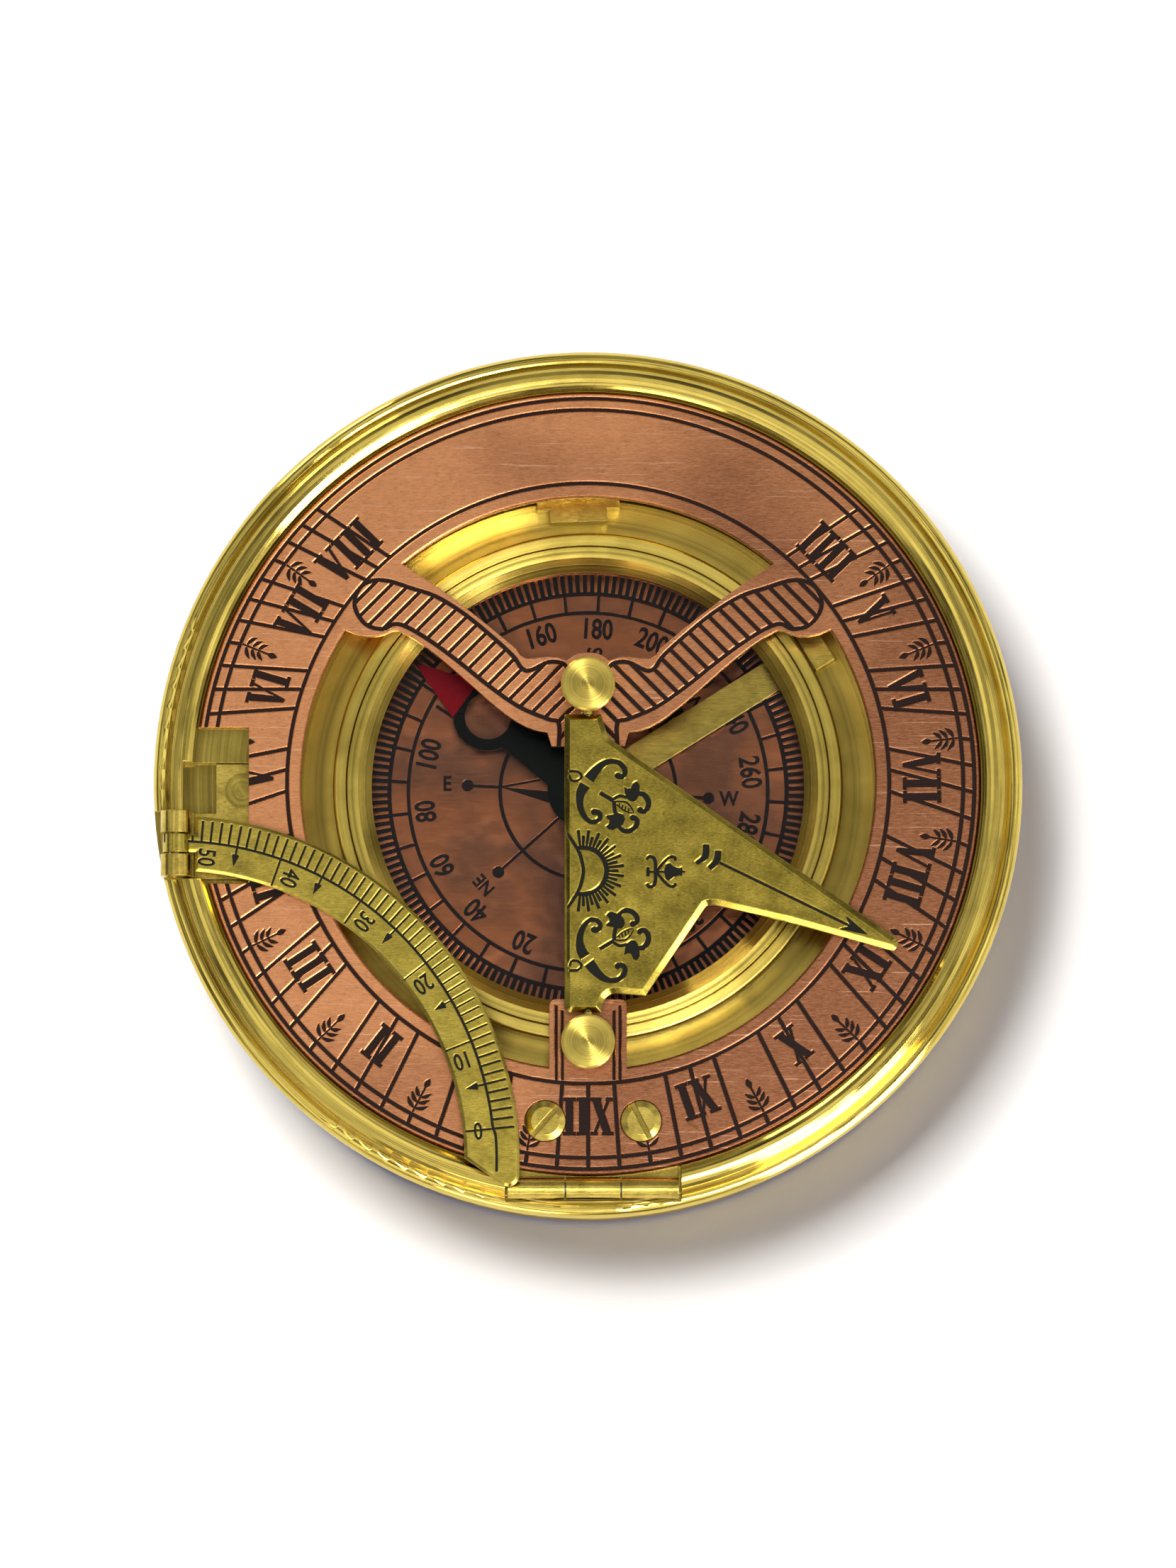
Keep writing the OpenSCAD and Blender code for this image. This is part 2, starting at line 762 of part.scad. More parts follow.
module hinge_screws() {
    color(brass)
    for (side = [-1, 1]) translate([hinge_x + side * screw_gap / 2, -screw_at, 0])
        difference() {
            union() {
                translate([0, 0, leaf_z]) cylinder(r = screw_r, h = dial_top - leaf_z);
                translate([0, 0, dial_top - screw_sink])
                    cylinder(r = screw_head_r, h = screw_sink + edge_break);
                translate([0, 0, dial_top + edge_break])
                    cylinder(r1 = screw_head_r, r2 = screw_head_r - screw_dome, h = screw_crown);
            }
            rotate([0, 0, side < 0 ? screw_turn_left : screw_turn_right])
                block([-screw_head_r - past, -screw_slot / 2, dial_top - edge_break],
                    [screw_head_r + past, screw_slot / 2, dial_top + past]);
        }
}

module hinge_leaf_dial() {
    mid = knuckle_mid / 2 + side_gap;
    color(brass)
    difference() {
        union() {
            translate([hinge_x, -leaf_start, 0])
                block([-hinge_l / 2, 0, leaf_z], [hinge_l / 2, leaf_l, dial_z]);
            for (side = [0, 1]) mirror_about(hinge_x, side) {
                block([hinge_x + mid, -hinge_at, leaf_z],
                    [hinge_x + hinge_l / 2, -leaf_start + eps, hinge_z - hinge_pin_r]);
                translate([0, -hinge_at, hinge_z])
                    along_x(knuckle_r, hinge_x + mid, hinge_x + hinge_l / 2);
            }
        }
        translate([0, -hinge_at, hinge_z])
            along_x(hinge_pin_r + pin_gap, hinge_x - hinge_l, hinge_x + hinge_l);
        for (side = [-1, 1]) translate([hinge_x + side * screw_gap / 2, -screw_at, leaf_z - past])
            cylinder(r = screw_r, h = leaf_t + 2 * past);
    }
}

// Mirrors its children about a plane across X when the flag is 1
module mirror_about(x, flag) {
    translate([x, 0, 0]) mirror([flag, 0, 0]) translate([-x, 0, 0]) children();
}

module hinge_leaf_case() {
    half = knuckle_mid / 2;
    low = leaf_pocket_z - tang_depth;
    color(brass)
    difference() {
        union() {
            translate([0, -hinge_at, hinge_z]) along_x(knuckle_r, hinge_x - half, hinge_x + half);
            block([hinge_x - half, -hinge_at - tang_t / 2, low],
                [hinge_x + half, -hinge_at + tang_t / 2, hinge_z]);
        }
        translate([0, -hinge_at, hinge_z])
            along_x(hinge_pin_r, hinge_x - half - past, hinge_x + half + past);
    }
}

module hinge_pin() {
    color("#8f8a70")
    translate([0, -hinge_at, hinge_z])
        along_x(hinge_pin_r, hinge_x - hinge_l / 2, hinge_x + hinge_l / 2);
}

// A post with a broad turned head; the gnomon's pivot runs in it on the side given by toward
module gnomon_post(y, toward) {
    color(brass)
    translate([0, y, 0])
    difference() {
        union() {
            translate([0, 0, dial_z - peg_rivet]) cylinder(r = post_peg_r, h = dial_t + peg_rivet + eps);
            translate([0, 0, dial_z - peg_rivet])
                cylinder(r1 = post_peg_r, r2 = post_peg_r + peg_rivet, h = peg_rivet);
            translate([0, 0, dial_top]) cylinder(r = post_r, h = post_top_z - dial_top + eps);
            translate([0, 0, post_top_z])
                cylinder(r = post_head_r, h = post_head_t - edge_break);
            translate([0, 0, post_top_z + post_head_t - edge_break])
                cylinder(r1 = post_head_r, r2 = post_head_r - edge_break, h = edge_break);
        }
        translate([0, 0, gnomon_z]) rotate([toward > 0 ? -90 : 90, 0, 0])
            translate([0, 0, -pin_end_gap])
            cylinder(r = gnomon_pin_r + pin_gap, h = pin_end_gap + post_head_r);
    }
}

module gnomon_post_far() {
    gnomon_post(post_far, -1);
}

module gnomon_post_noon() {
    gnomon_post(-post_noon, 1);
}

// The gnomon's outline. Its shoulders keep their distance from its ends, and its wing follows its reach
module gnomon_outline() {
    back = -gnomon_back;
    unit = gnomon_reach / 100;
    tip_r = 2.5 * unit;
    heel = unit * [39.4, -42.8];
    polygon(concat(
        [[back, gnomon_far], [unit * 4.2, gnomon_far]],
        curve([unit * 5.6, gnomon_far - unit * 4.5], [unit * 6.2, gnomon_far - unit * 6.8],
            [unit * 7, gnomon_far - unit * 7.9], [unit * 9, gnomon_far - unit * 9.3], 3),
        arc([gnomon_reach - tip_r, -gnomon_tip_at], tip_r, 55, -75, 6),
        [unit * [64.5, -45.6], unit * [41.1, -40.3]],
        arc(heel, tip_r, 75, 125, 3),
        [[unit * 18.6, unit * 5.4 - gnomon_noon]],
        curve([unit * 8.7, unit * 6.2 - gnomon_noon], [unit * 6.2, unit * 5.9 - gnomon_noon],
            [unit * 4.5, unit * 4.2 - gnomon_noon], [unit * 4.2, -gnomon_noon], 4),
        [[unit * 1.4 + back, -gnomon_noon], [back, unit * 1.4 - gnomon_noon]]
    ));
}

module gnomon() {
    color(brass)
    difference() {
        translate([0, 0, gnomon_z - gnomon_t / 2]) linear_extrude(gnomon_t) gnomon_outline();
        translate([0, 0, gnomon_z]) {
            along_y(gnomon_pin_r, gnomon_far - gnomon_pin_in, gnomon_far + past);
            along_y(gnomon_pin_r, -gnomon_noon - past, -gnomon_noon + gnomon_pin_in);
        }
    }
}

module gnomon_pivots() {
    color(brass)
    translate([0, 0, gnomon_z]) {
        along_y(gnomon_pin_r, gnomon_far - gnomon_pin_in, post_far);
        along_y(gnomon_pin_r, -post_noon, -gnomon_noon + gnomon_pin_in);
    }
}

// The part of the ring that the arc keeps: from its pivot to a clipped, rounded tip
module arc_reach() {
    tip = arc_mid + (arc_out_r - arc_tip_r) * [cos(arc_tip_turn), sin(arc_tip_turn)];
    clip = arc_mid + (arc_in_r - arc_tip_r / 4) * [cos(arc_clip_turn), sin(arc_clip_turn)];
    polygon(concat(
        [[-arc_start, 0], [0, 0], [0, arc_mid[1]]],
        arc(tip, arc_tip_r, -10, -115, 6),
        [clip, [-arc_start, arc_mid[1] + arc_mid_r / 2]]
    ));
}

module latitude_arc() {
    color(brass)
    difference() {
        union() {
            translate([0, 0, arc_z])
            linear_extrude(arc_t)
            intersection() {
                difference() {
                    translate(arc_mid) circle(r = arc_out_r);
                    translate(arc_mid) circle(r = arc_in_r);
                }
                arc_reach();
            }
            translate([-arc_pivot_x, -arc_pivot_y, 0])
                block([0, -tongue_w / 2, arc_z],
                    [arc_pivot_x - arc_start + past, tongue_w / 2, arc_z + arc_t]);
            translate([-arc_pivot_x, -arc_pivot_y, arc_axis_z])
                along_y(tongue_r, -tongue_w / 2, tongue_w / 2);
        }
        translate([-arc_pivot_x, -arc_pivot_y, arc_axis_z])
            along_y(arc_pin_r + pin_gap, -tongue_w, tongue_w);
    }
}

module arc_bracket() {
    foot_top = pocket_z + foot_t;
    right = -pocket_right - move_gap;
    left = -arc_pivot_x + lug_r + move_gap;
    color(brass)
    difference() {
        union() {
            // the foot in the deck, and the web that climbs to the lugs
            block([-pocket_left + seat_gap, -pocket_low + seat_gap, pocket_z],
                [right, -arc_pivot_y + lug_outer, foot_top]);
            block([-foot_left, -arc_pivot_y, pocket_z], [right, pocket_high - seat_gap, foot_top]);
            block([-pocket_left + seat_gap, -arc_pivot_y - lug_outer, pocket_z],
                [left, -arc_pivot_y + lug_outer, deck_z + lug_base]);
            block([-arc_pivot_x - lug_r, -arc_pivot_y - lug_outer, deck_z],
                [left, -arc_pivot_y + lug_outer, deck_z + lug_base]);
            for (side = [0, 1])
                translate([-arc_pivot_x, -arc_pivot_y, 0]) mirror([0, side, 0]) lug();
        }
        translate([-arc_pivot_x, -arc_pivot_y, arc_axis_z])
            along_y(arc_pin_r, -lug_outer - past, lug_outer + past);
        translate([foot_screw[0], foot_screw[1], pocket_z - past])
            cylinder(r = foot_shank_r, h = foot_t + 2 * past);
    }
}

// One lug of the bracket, beside the tongue
module lug() {
    block([-lug_r, lug_inner, deck_z], [lug_r, lug_outer, arc_axis_z]);
    translate([0, 0, arc_axis_z]) along_y(lug_r, lug_inner, lug_outer);
}

module arc_bracket_screw() {
    foot_top = pocket_z + foot_t;
    color(brass)
    translate([foot_screw[0], foot_screw[1], 0])
    union() {
        translate([0, 0, pocket_z - foot_screw_grip])
            cylinder(r = foot_shank_r, h = foot_t + foot_screw_grip);
        translate([0, 0, foot_top]) cylinder(r = foot_screw_r, h = foot_screw_head);
    }
}

module arc_pin() {
    color(brass)
    translate([-arc_pivot_x, -arc_pivot_y, arc_axis_z]) along_y(arc_pin_r, -lug_outer, lug_outer);
}

base_plate();
case_body();
rest_block();
compass_bowl();
compass_card();
needle_pivot();
glass();
glass_ring();
bezel_ring();
lever_pin();
hinge_leaf_case();
hinge_pin();
arc_bracket();
arc_bracket_screw();
arc_pin();
needle();
needle_cap();
lock_lever();
lever_tab();
dial_plate();
hinge_leaf_dial();
hinge_screws();
gnomon_post_far();
gnomon_post_noon();
gnomon();
gnomon_pivots();
latitude_arc();
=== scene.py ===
"""Looks of the sundial compass: engraved dial, card, gnomon and latitude arc in a turned brass case.

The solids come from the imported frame. The engraved pieces are those solids with their scales cut
into them, and everything else keeps its solid and gets a procedural metal.
"""

import math

import bmesh
import bpy
from mathutils import Matrix, Vector


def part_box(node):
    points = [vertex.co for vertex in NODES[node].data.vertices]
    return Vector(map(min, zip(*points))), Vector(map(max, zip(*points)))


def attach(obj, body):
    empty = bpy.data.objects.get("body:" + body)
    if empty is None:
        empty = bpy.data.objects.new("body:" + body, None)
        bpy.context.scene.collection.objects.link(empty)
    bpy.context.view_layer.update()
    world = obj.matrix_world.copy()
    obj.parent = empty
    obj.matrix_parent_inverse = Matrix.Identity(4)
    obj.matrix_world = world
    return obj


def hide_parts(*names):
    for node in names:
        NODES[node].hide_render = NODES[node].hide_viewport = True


MM = 0.001
LIFT = 0.2  # mm that a cutter stands above the face it cuts
EASE = 0.7  # drop of an engraved line's eased edge, as a share of its width
BROAD_LIP, FINE_LIP, THIN_LIP, HAIR_LIP = 0.09, 0.05, 0.04, 0.03  # widths of that edge, in mm
SHARP = 28  # degrees between faces from which an engraved piece has a hard edge

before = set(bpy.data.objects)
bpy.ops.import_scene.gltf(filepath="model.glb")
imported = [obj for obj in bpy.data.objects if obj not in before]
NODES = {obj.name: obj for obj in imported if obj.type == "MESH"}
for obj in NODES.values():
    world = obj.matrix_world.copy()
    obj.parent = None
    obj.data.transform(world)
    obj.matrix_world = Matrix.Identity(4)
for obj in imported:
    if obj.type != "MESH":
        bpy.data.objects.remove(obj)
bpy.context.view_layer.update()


# ---------------------------------------------------------------- plane shapes, in mm

def polar(r, degrees, mid=(0, 0)):
    a = math.radians(degrees)
    return (mid[0] + r * math.cos(a), mid[1] + r * math.sin(a))


def bar(a, b, w):
    """A straight stroke of width w between two points."""
    dx, dy = b[0] - a[0], b[1] - a[1]
    length = math.hypot(dx, dy)
    nx, ny = -dy / length * w / 2, dx / length * w / 2
    return [(a[0] + nx, a[1] + ny), (b[0] + nx, b[1] + ny), (b[0] - nx, b[1] - ny), (a[0] - nx, a[1] - ny)]


def smooth(points, steps=5):
    """Points of a curve through the given ones; each may carry a width as its third number."""
    out = []
    last = len(points) - 1
    for i in range(last):
        a, b = points[i], points[i + 1]
        before = points[i - 1] if i else a
        after = points[i + 2] if i + 2 <= last else b
        for k in range(steps):
            t = k / steps
            out.append(tuple(
                0.5 * (2 * q + (s - p) * t + (2 * p - 5 * q + 4 * s - u) * t * t
                       + (3 * q - p - 3 * s + u) * t ** 3)
                for p, q, s, u in zip(before, a, b, after)))
    out.append(tuple(points[-1]))
    return out


def stroke(points, steps=5):
    """A curved stroke; each point is (x, y, half the width there)."""
    line = smooth(points, steps)
    left, right = [], []
    for i, (x, y, w) in enumerate(line):
        a, b = line[max(i - 1, 0)], line[min(i + 1, len(line) - 1)]
        dx, dy = b[0] - a[0], b[1] - a[1]
        length = math.hypot(dx, dy) or 1
        left.append((x - dy / length * w, y + dx / length * w))
        right.append((x + dy / length * w, y - dx / length * w))
    return left + right[::-1]


def disc(mid, r, n=20):
    return [polar(r, 360 * i / n, mid) for i in range(n)]


def placed(shape, at, turn):
    """A shape turned by an angle in degrees and moved to a point."""
    c, s = math.cos(math.radians(turn)), math.sin(math.radians(turn))
    return [(at[0] + c * x - s * y, at[1] + s * x + c * y) for x, y in shape]


def mirrored_y(shape, axis):
    return [(x, 2 * axis - y) for x, y in shape]


def mirrored_x(shape):
    return [(-x, y) for x, y in shape]


def area(shape):
    return sum(a[0] * b[1] - b[0] * a[1] for a, b in zip(shape, shape[1:] + shape[:1])) / 2


# ---------------------------------------------------------------- cutters

def grown(shape, by):
    """A closed outline pushed outwards at each corner by about a distance, less inside a tight bend."""
    out = []
    for i, (x, y) in enumerate(shape):
        (ax, ay), (bx, by_) = shape[i - 1], shape[(i + 1) % len(shape)]
        first, second = (x - ax, y - ay), (bx - x, by_ - y)
        one, two = math.hypot(*first) or 1, math.hypot(*second) or 1
        nx, ny = first[1] / one + second[1] / two, -first[0] / one - second[0] / two
        size = math.hypot(nx, ny) or 1
        reach = by * min(2 / size, 1.6)
        bend = (first[0] * second[1] - first[1] * second[0]) / one / two
        if bend < -0.02:
            reach = min(reach, 0.3 * min(one, two) / -bend)
        out.append((x + nx / size * reach, y + ny / size * reach))
    return out


def add_prism(bm, shape, low, edge, high, lip):
    """A cutter with upright walls that spreads by the lip from the edge's height up."""
    if area(shape) < 0:
        shape = shape[::-1]
    wide = grown(shape, lip)
    loops = [[bm.verts.new((x * MM, y * MM, z * MM)) for x, y in outline]
             for outline, z in ((shape, low), (shape, edge), (wide, edge + lip * EASE), (wide, high))]
    bm.faces.new(loops[0][::-1])
    bm.faces.new(loops[-1])
    for a, b in zip(loops, loops[1:]):
        for i in range(len(shape)):
            j = (i + 1) % len(shape)
            bm.faces.new((a[i], a[j], b[j], b[i]))


def add_ring(bm, r, w, low, edge, high, lip, mid=(0, 0), n=256):
    """A whole ring of width w on radius r, spreading as a prism does."""
    half = w / 2
    section = ((r - half, low), (r + half, low), (r + half, edge), (r + half + lip, edge + lip * EASE),
               (r + half + lip, high), (r - half - lip, high), (r - half - lip, edge + lip * EASE),
               (r - half, edge))
    loops = [[bm.verts.new((x * MM, y * MM, z * MM))
              for x, y in (polar(radius, 360 * i / n, mid) for i in range(n))] for radius, z in section]
    for i in range(n):
        j = (i + 1) % n
        for a, b in zip(loops, loops[1:] + loops[:1]):
            bm.faces.new((a[i], a[j], b[j], b[i]))


def add_word(bm, text, size, at, turn, low, high, stretch=0.86, weight=0.0):
    """A word in Blender's own plain face, its middle at a point."""
    curve = bpy.data.curves.new("word", "FONT")
    curve.body = text
    curve.size = size * MM
    curve.align_x = "CENTER"
    curve.align_y = "CENTER"
    curve.resolution_u = 3
    curve.offset = weight * MM
    curve.extrude = (high - low) / 2 * MM
    made = bpy.data.objects.new("word", curve)
    bpy.context.scene.collection.objects.link(made)
    bpy.context.view_layer.update()
    mesh = bpy.data.meshes.new_from_object(made.evaluated_get(bpy.context.evaluated_depsgraph_get()))
    mesh.transform(Matrix.Translation((at[0] * MM, at[1] * MM, (low + high) / 2 * MM))
                   @ Matrix.Rotation(math.radians(turn), 4, "Z") @ Matrix.Diagonal((stretch, 1, 1, 1)))
    bm.from_mesh(mesh)
    bpy.data.objects.remove(made)
    bpy.data.curves.remove(curve)
    bpy.data.meshes.remove(mesh)


class Cut:
    """One set of strokes that don't overlap each other, cut to one depth, with eased edges."""

    def __init__(self, top, depth, lip=BROAD_LIP):
        self.low, self.high, self.lip = top - depth, top + LIFT, lip
        self.edge = top - lip * EASE
        self.bm = bmesh.new()

    def add(self, *shapes):
        for shape in shapes:
            add_prism(self.bm, shape, self.low, self.edge, self.high, self.lip)

    def ring(self, r, w, mid=(0, 0)):
        add_ring(self.bm, r, w, self.low, self.edge, self.high, self.lip, mid)

    def word(self, text, size, at, turn, **how):
        add_word(self.bm, text, size, at, turn, self.low, self.high, **how)

    def cutter(self, name):
        bmesh.ops.remove_doubles(self.bm, verts=self.bm.verts, dist=1e-8)
        bmesh.ops.recalc_face_normals(self.bm, faces=self.bm.faces)
        return linked(name, self.bm)


def linked(name, bm):
    mesh = bpy.data.meshes.new(name)
    bm.to_mesh(mesh)
    bm.free()
    made = bpy.data.objects.new(name, mesh)
    bpy.context.scene.collection.objects.link(made)
    return made


def welded(node):
    """The node's solid as one closed mesh."""
    bm = bmesh.new()
    bm.from_mesh(NODES[node].data)
    bmesh.ops.remove_doubles(bm, verts=bm.verts, dist=1e-7)
    return bm


def take_out(piece, tool):
    """Cuts a tool out of the piece and leaves triangles, so that no face is too crooked to draw."""
    mod = piece.modifiers.new("cut", "BOOLEAN")
    mod.operation, mod.solver, mod.object = "DIFFERENCE", "MANIFOLD", tool
    bpy.context.view_layer.update()
    mesh = bpy.data.meshes.new_from_object(piece.evaluated_get(bpy.context.evaluated_depsgraph_get()))
    piece.modifiers.clear()
    bm = bmesh.new()
    bm.from_mesh(mesh)
    bmesh.ops.triangulate(bm, faces=bm.faces[:])
    bm.to_mesh(mesh)
    bm.free()
    piece.data = mesh
    bpy.data.objects.remove(tool)


def engraved(name, body, node, metal, ink, cuts, shaped=None):
    """The node's solid with the cuts taken out of it and their floors filled dark."""
    bm = welded(node)
    if shaped:
        shaped(bm)
    piece = linked(name, bm)
    for cut in cuts:
        take_out(piece, cut.cutter("cutter"))
    mesh = piece.data
    if mesh.has_custom_normals:
        mesh.attributes.remove(mesh.attributes["custom_normal"])
    mesh.materials.clear()
    mesh.materials.append(metal)
    mesh.materials.append(ink)
    floors = [cut.low * MM for cut in cuts]
    for face in mesh.polygons:
        face.use_smooth = True
        on_floor = any(abs(face.center.z - z) < 2e-6 for z in floors) and face.normal.z > 0.9
        face.material_index = 1 if on_floor else 0
    mesh.set_sharp_from_angle(angle=math.radians(SHARP))
    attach(piece, body)
    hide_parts(node)


# ---------------------------------------------------------------- materials

class Nodes:
    """Short hand for building a node tree."""

    def __init__(self, tree):
        self.tree = tree

    def new(self, kind, **values):
        node = self.tree.nodes.new(kind)
        for key, value in values.items():
            setattr(node, key, value)
        return node

    def join(self, a, b):
        self.tree.links.new(a, b)

    def put(self, socket, value):
        """A number, colour or another socket into a socket."""
        if hasattr(value, "is_output"):
            self.join(value, socket)
        else:
            socket.default_value = value

    def math(self, what, a, b=0.0, clamp=False):
        node = self.new("ShaderNodeMath", operation=what, use_clamp=clamp)
        self.put(node.inputs[0], a)
        self.put(node.inputs[1], b)
        return node.outputs[0]

    def noise(self, vector, scale, detail=3.0, rough=0.5):
        node = self.new("ShaderNodeTexNoise")
        self.put(node.inputs["Vector"], vector)
        node.inputs["Scale"].default_value = scale
        node.inputs["Detail"].default_value = detail
        node.inputs["Roughness"].default_value = rough
        return node.outputs["Fac"]

    def spread(self, value, low, high, to_low=0.0, to_high=1.0, curve="LINEAR"):
        """A value's range stretched to another and held at its ends."""
        node = self.new("ShaderNodeMapRange", interpolation_type=curve)
        self.put(node.inputs["Value"], value)
        for key, number in (("From Min", low), ("From Max", high), ("To Min", to_low), ("To Max", to_high)):
            node.inputs[key].default_value = number
        return node.outputs["Result"]

    def mix(self, share, a, b):
        node = self.new("ShaderNodeMix", data_type="RGBA")
        self.put(node.inputs["Factor"], share)
        self.put(node.inputs[6], a)
        self.put(node.inputs[7], b)
        return node.outputs[2]

    def vector(self, x, y, z):
        node = self.new("ShaderNodeCombineXYZ")
        for socket, value in zip(node.inputs, (x, y, z)):
            self.put(socket, value)
        return node.outputs[0]


class Surface(Nodes):
    """A material's node tree round its one shader."""

    def __init__(self, name):
        self.material = bpy.data.materials.new(name)
        self.material.use_nodes = True
        super().__init__(self.material.node_tree)
        self.shader = self.tree.nodes["Principled BSDF"]

    def place(self, mid=(0, 0)):
        """Object coordinates in mm from a turning axis: the vector, and its parts."""
        coord = self.new("ShaderNodeTexCoord")
        scaled = self.new("ShaderNodeVectorMath", operation="MULTIPLY_ADD")
        self.join(coord.outputs["Object"], scaled.inputs[0])
        scaled.inputs[1].default_value = (1 / MM, 1 / MM, 1 / MM)
        scaled.inputs[2].default_value = (-mid[0], -mid[1], 0)
        parts = self.new("ShaderNodeSeparateXYZ")
        self.join(scaled.outputs[0], parts.inputs[0])
        return scaled.outputs[0], parts.outputs

    def radius(self, part):
        """Distance from the turning axis."""
        squares = [self.math("POWER", part[axis], 2.0) for axis in ("X", "Y")]
        return self.math("SQRT", self.math("ADD", *squares))

    def grain(self, where, turn, scale, start=(0, 0, 0)):
        """The place turned by an angle in degrees and stretched, for streaks along one direction."""
        node = self.new("ShaderNodeMapping")
        node.inputs["Location"].default_value = start
        node.inputs["Rotation"].default_value = (0, 0, math.radians(turn))
        node.inputs["Scale"].default_value = scale
        self.join(where, node.inputs["Vector"])
        return node.outputs[0]

    def bump(self, height, distance, normal=None):
        node = self.new("ShaderNodeBump")
        node.inputs["Strength"].default_value = 1.0
        node.inputs["Distance"].default_value = distance
        self.put(node.inputs["Height"], height)
        if normal is not None:
            self.join(normal, node.inputs["Normal"])
        return node.outputs[0]

    def crevice_shade(self, reach, clean=0.75, full=0.3):
        """How far a place lies in a crevice, from 0 in the open to 1: the mask by which shade is painted into
        corners.
        """
        node = self.new("ShaderNodeAmbientOcclusion", samples=4)
        node.inputs["Distance"].default_value = reach * MM
        return self.spread(node.outputs["AO"], clean, full)

    def round_edges(self, radius):
        node = self.new("ShaderNodeBevel", samples=4)
        node.inputs["Radius"].default_value = radius * MM
        return node.outputs[0]

    def gloss(self, fine, low, high):
        """Roughness that follows a fine noise."""
        self.join(self.spread(fine, 0.3, 0.7, low, high), self.shader.inputs["Roughness"])

    def metal(self, tone, fine, depth, broad, wave, edge):
        """Makes the shader a metal of a tone, with two noises as its relief, in mm, and rounded edges."""
        self.join(tone, self.shader.inputs["Base Color"])
        height = self.math("ADD", self.math("MULTIPLY", fine, depth), self.math("MULTIPLY", broad, wave))
        self.join(self.bump(height, MM, self.round_edges(edge)), self.shader.inputs["Normal"])
        self.shader.inputs["Metallic"].default_value = 1.0


def shade(color, factor):
    return tuple(c * factor for c in color[:3]) + (1.0,)


def turned_metal(name, color, mid=(0, 0), rough=0.1, lines=2.6, depth=0.016, wave=0.1, stain=0.3,
                 sheen=0.8, crevice_shade=0.75, reach=2.5):
    """Lathe-turned metal: uneven rings round the axis, a slow wave, tarnish, and painted shade darkening the
    corners.
    """
    n = Surface(name)
    where, part = n.place(mid)
    ring_place = n.vector(n.radius(part), part["Z"], 0.0)
    fine = n.noise(ring_place, lines, 4.0, 0.65)
    broad = n.noise(ring_place, lines / 4, 2.0, 0.5)
    uneven = n.noise(where, 0.15, 1.0, 0.5)
    stains = n.noise(where, 0.14, 6.0, 0.65)
    tarnish_and_shade = n.math("MULTIPLY", n.spread(stains, 0.47, 0.72), stain, clamp=True)
    # painted shade: corners and recesses are darkened in the colour, on top of the tarnish stains
    tarnish_and_shade = n.math("MAXIMUM", tarnish_and_shade, n.math("MULTIPLY", n.crevice_shade(reach), crevice_shade))
    tone = n.mix(n.spread(n.math("ADD", broad, n.math("MULTIPLY", fine, 0.6)), 0.6, 1.0),
                 shade(color, 0.66), shade(color, 1.12))
    tone = n.mix(tarnish_and_shade, tone, (color[0] * 0.3, color[1] * 0.26, color[2] * 0.15, 1.0))
    n.metal(tone, fine, depth, uneven, wave, 0.12)
    n.gloss(fine, rough * 0.7, rough * 1.5)
    n.shader.inputs["Anisotropic"].default_value = sheen
    n.shader.inputs["Anisotropic Rotation"].default_value = 0.25
    tangent = n.new("ShaderNodeTangent", direction_type="RADIAL", axis="Z")
    n.join(tangent.outputs[0], n.shader.inputs["Tangent"])
    return n.material


def rubbed_metal(name, color, rough=0.2, grain=(0.5, 4.0, 0.5), turn=0.0, depth=0.006, wave=0.06,
                 stain=0.6, patina=None, edge=0.12, crevice_shade=0.7):
    """Flat metal with a rubbed grain along one direction, mottled tarnish, pits, and painted shade in the
    corners.
    """
    n = Surface(name)
    where = n.place()[0]
    fine = n.noise(n.grain(where, turn, grain), 3.0, 6.0, 0.65)
    uneven = n.noise(where, 0.16, 1.0, 0.5)
    mottle = n.noise(where, 0.35, 6.0, 0.65)
    pits = n.noise(where, 2.6, 2.0, 0.5)
    old = patina or (color[0] * 0.38, color[1] * 0.33, color[2] * 0.25)
    tone = n.mix(n.spread(fine, 0.3, 0.7), shade(color, 0.78), shade(color, 1.12))
    tone = n.mix(n.math("MULTIPLY", n.spread(mottle, 0.42, 0.72), stain, clamp=True), tone, shade(old, 1.0))
    tone = n.mix(n.spread(pits, 0.68, 0.76, 0.0, 0.6), tone, shade(old, 0.6))
    # painted shade: corners and recesses are darkened in the colour
    tone = n.mix(n.math("MULTIPLY", n.crevice_shade(2.0), crevice_shade), tone, shade(old, 0.5))
    n.metal(tone, fine, depth, uneven, wave, edge)
    n.gloss(fine, rough * 0.75, rough * 1.35)
    return n.material


COPPER = {
    "clean": (0.71, 0.295, 0.118, 1.0), "brown": (0.29, 0.105, 0.044, 1.0),
    "mottled": (0.34, 0.12, 0.055, 1.0), "specks": (0.16, 0.065, 0.03, 1.0),
    # the last colour of the next row is painted shade for the crevices
    "rubbed": (0.84, 0.43, 0.24, 1.0), "scratched": (0.9, 0.5, 0.3, 1.0), "crevice_shade": (0.12, 0.04, 0.02, 1.0),
    "card": (0.5, 0.175, 0.07, 1.0), "card_dark": (0.27, 0.11, 0.058, 1.0),
    "card_streaks": (0.6, 0.3, 0.19, 1.0)}
DIAL_SCRATCHES = ((58, 3.0), (-24, 11.0), (82, 27.0))  # direction in degrees, and seed


def scratches(n, where, turn, seed, rare=0.7):
    """Thin broken scratches along one direction, from 0 to 1."""
    along = n.grain(where, turn, (0.1, 5.0, 0.1), (seed, seed * 2, 0))
    return n.spread(n.noise(along, 1.0, 2.0, 0.4), rare, rare + 0.05)


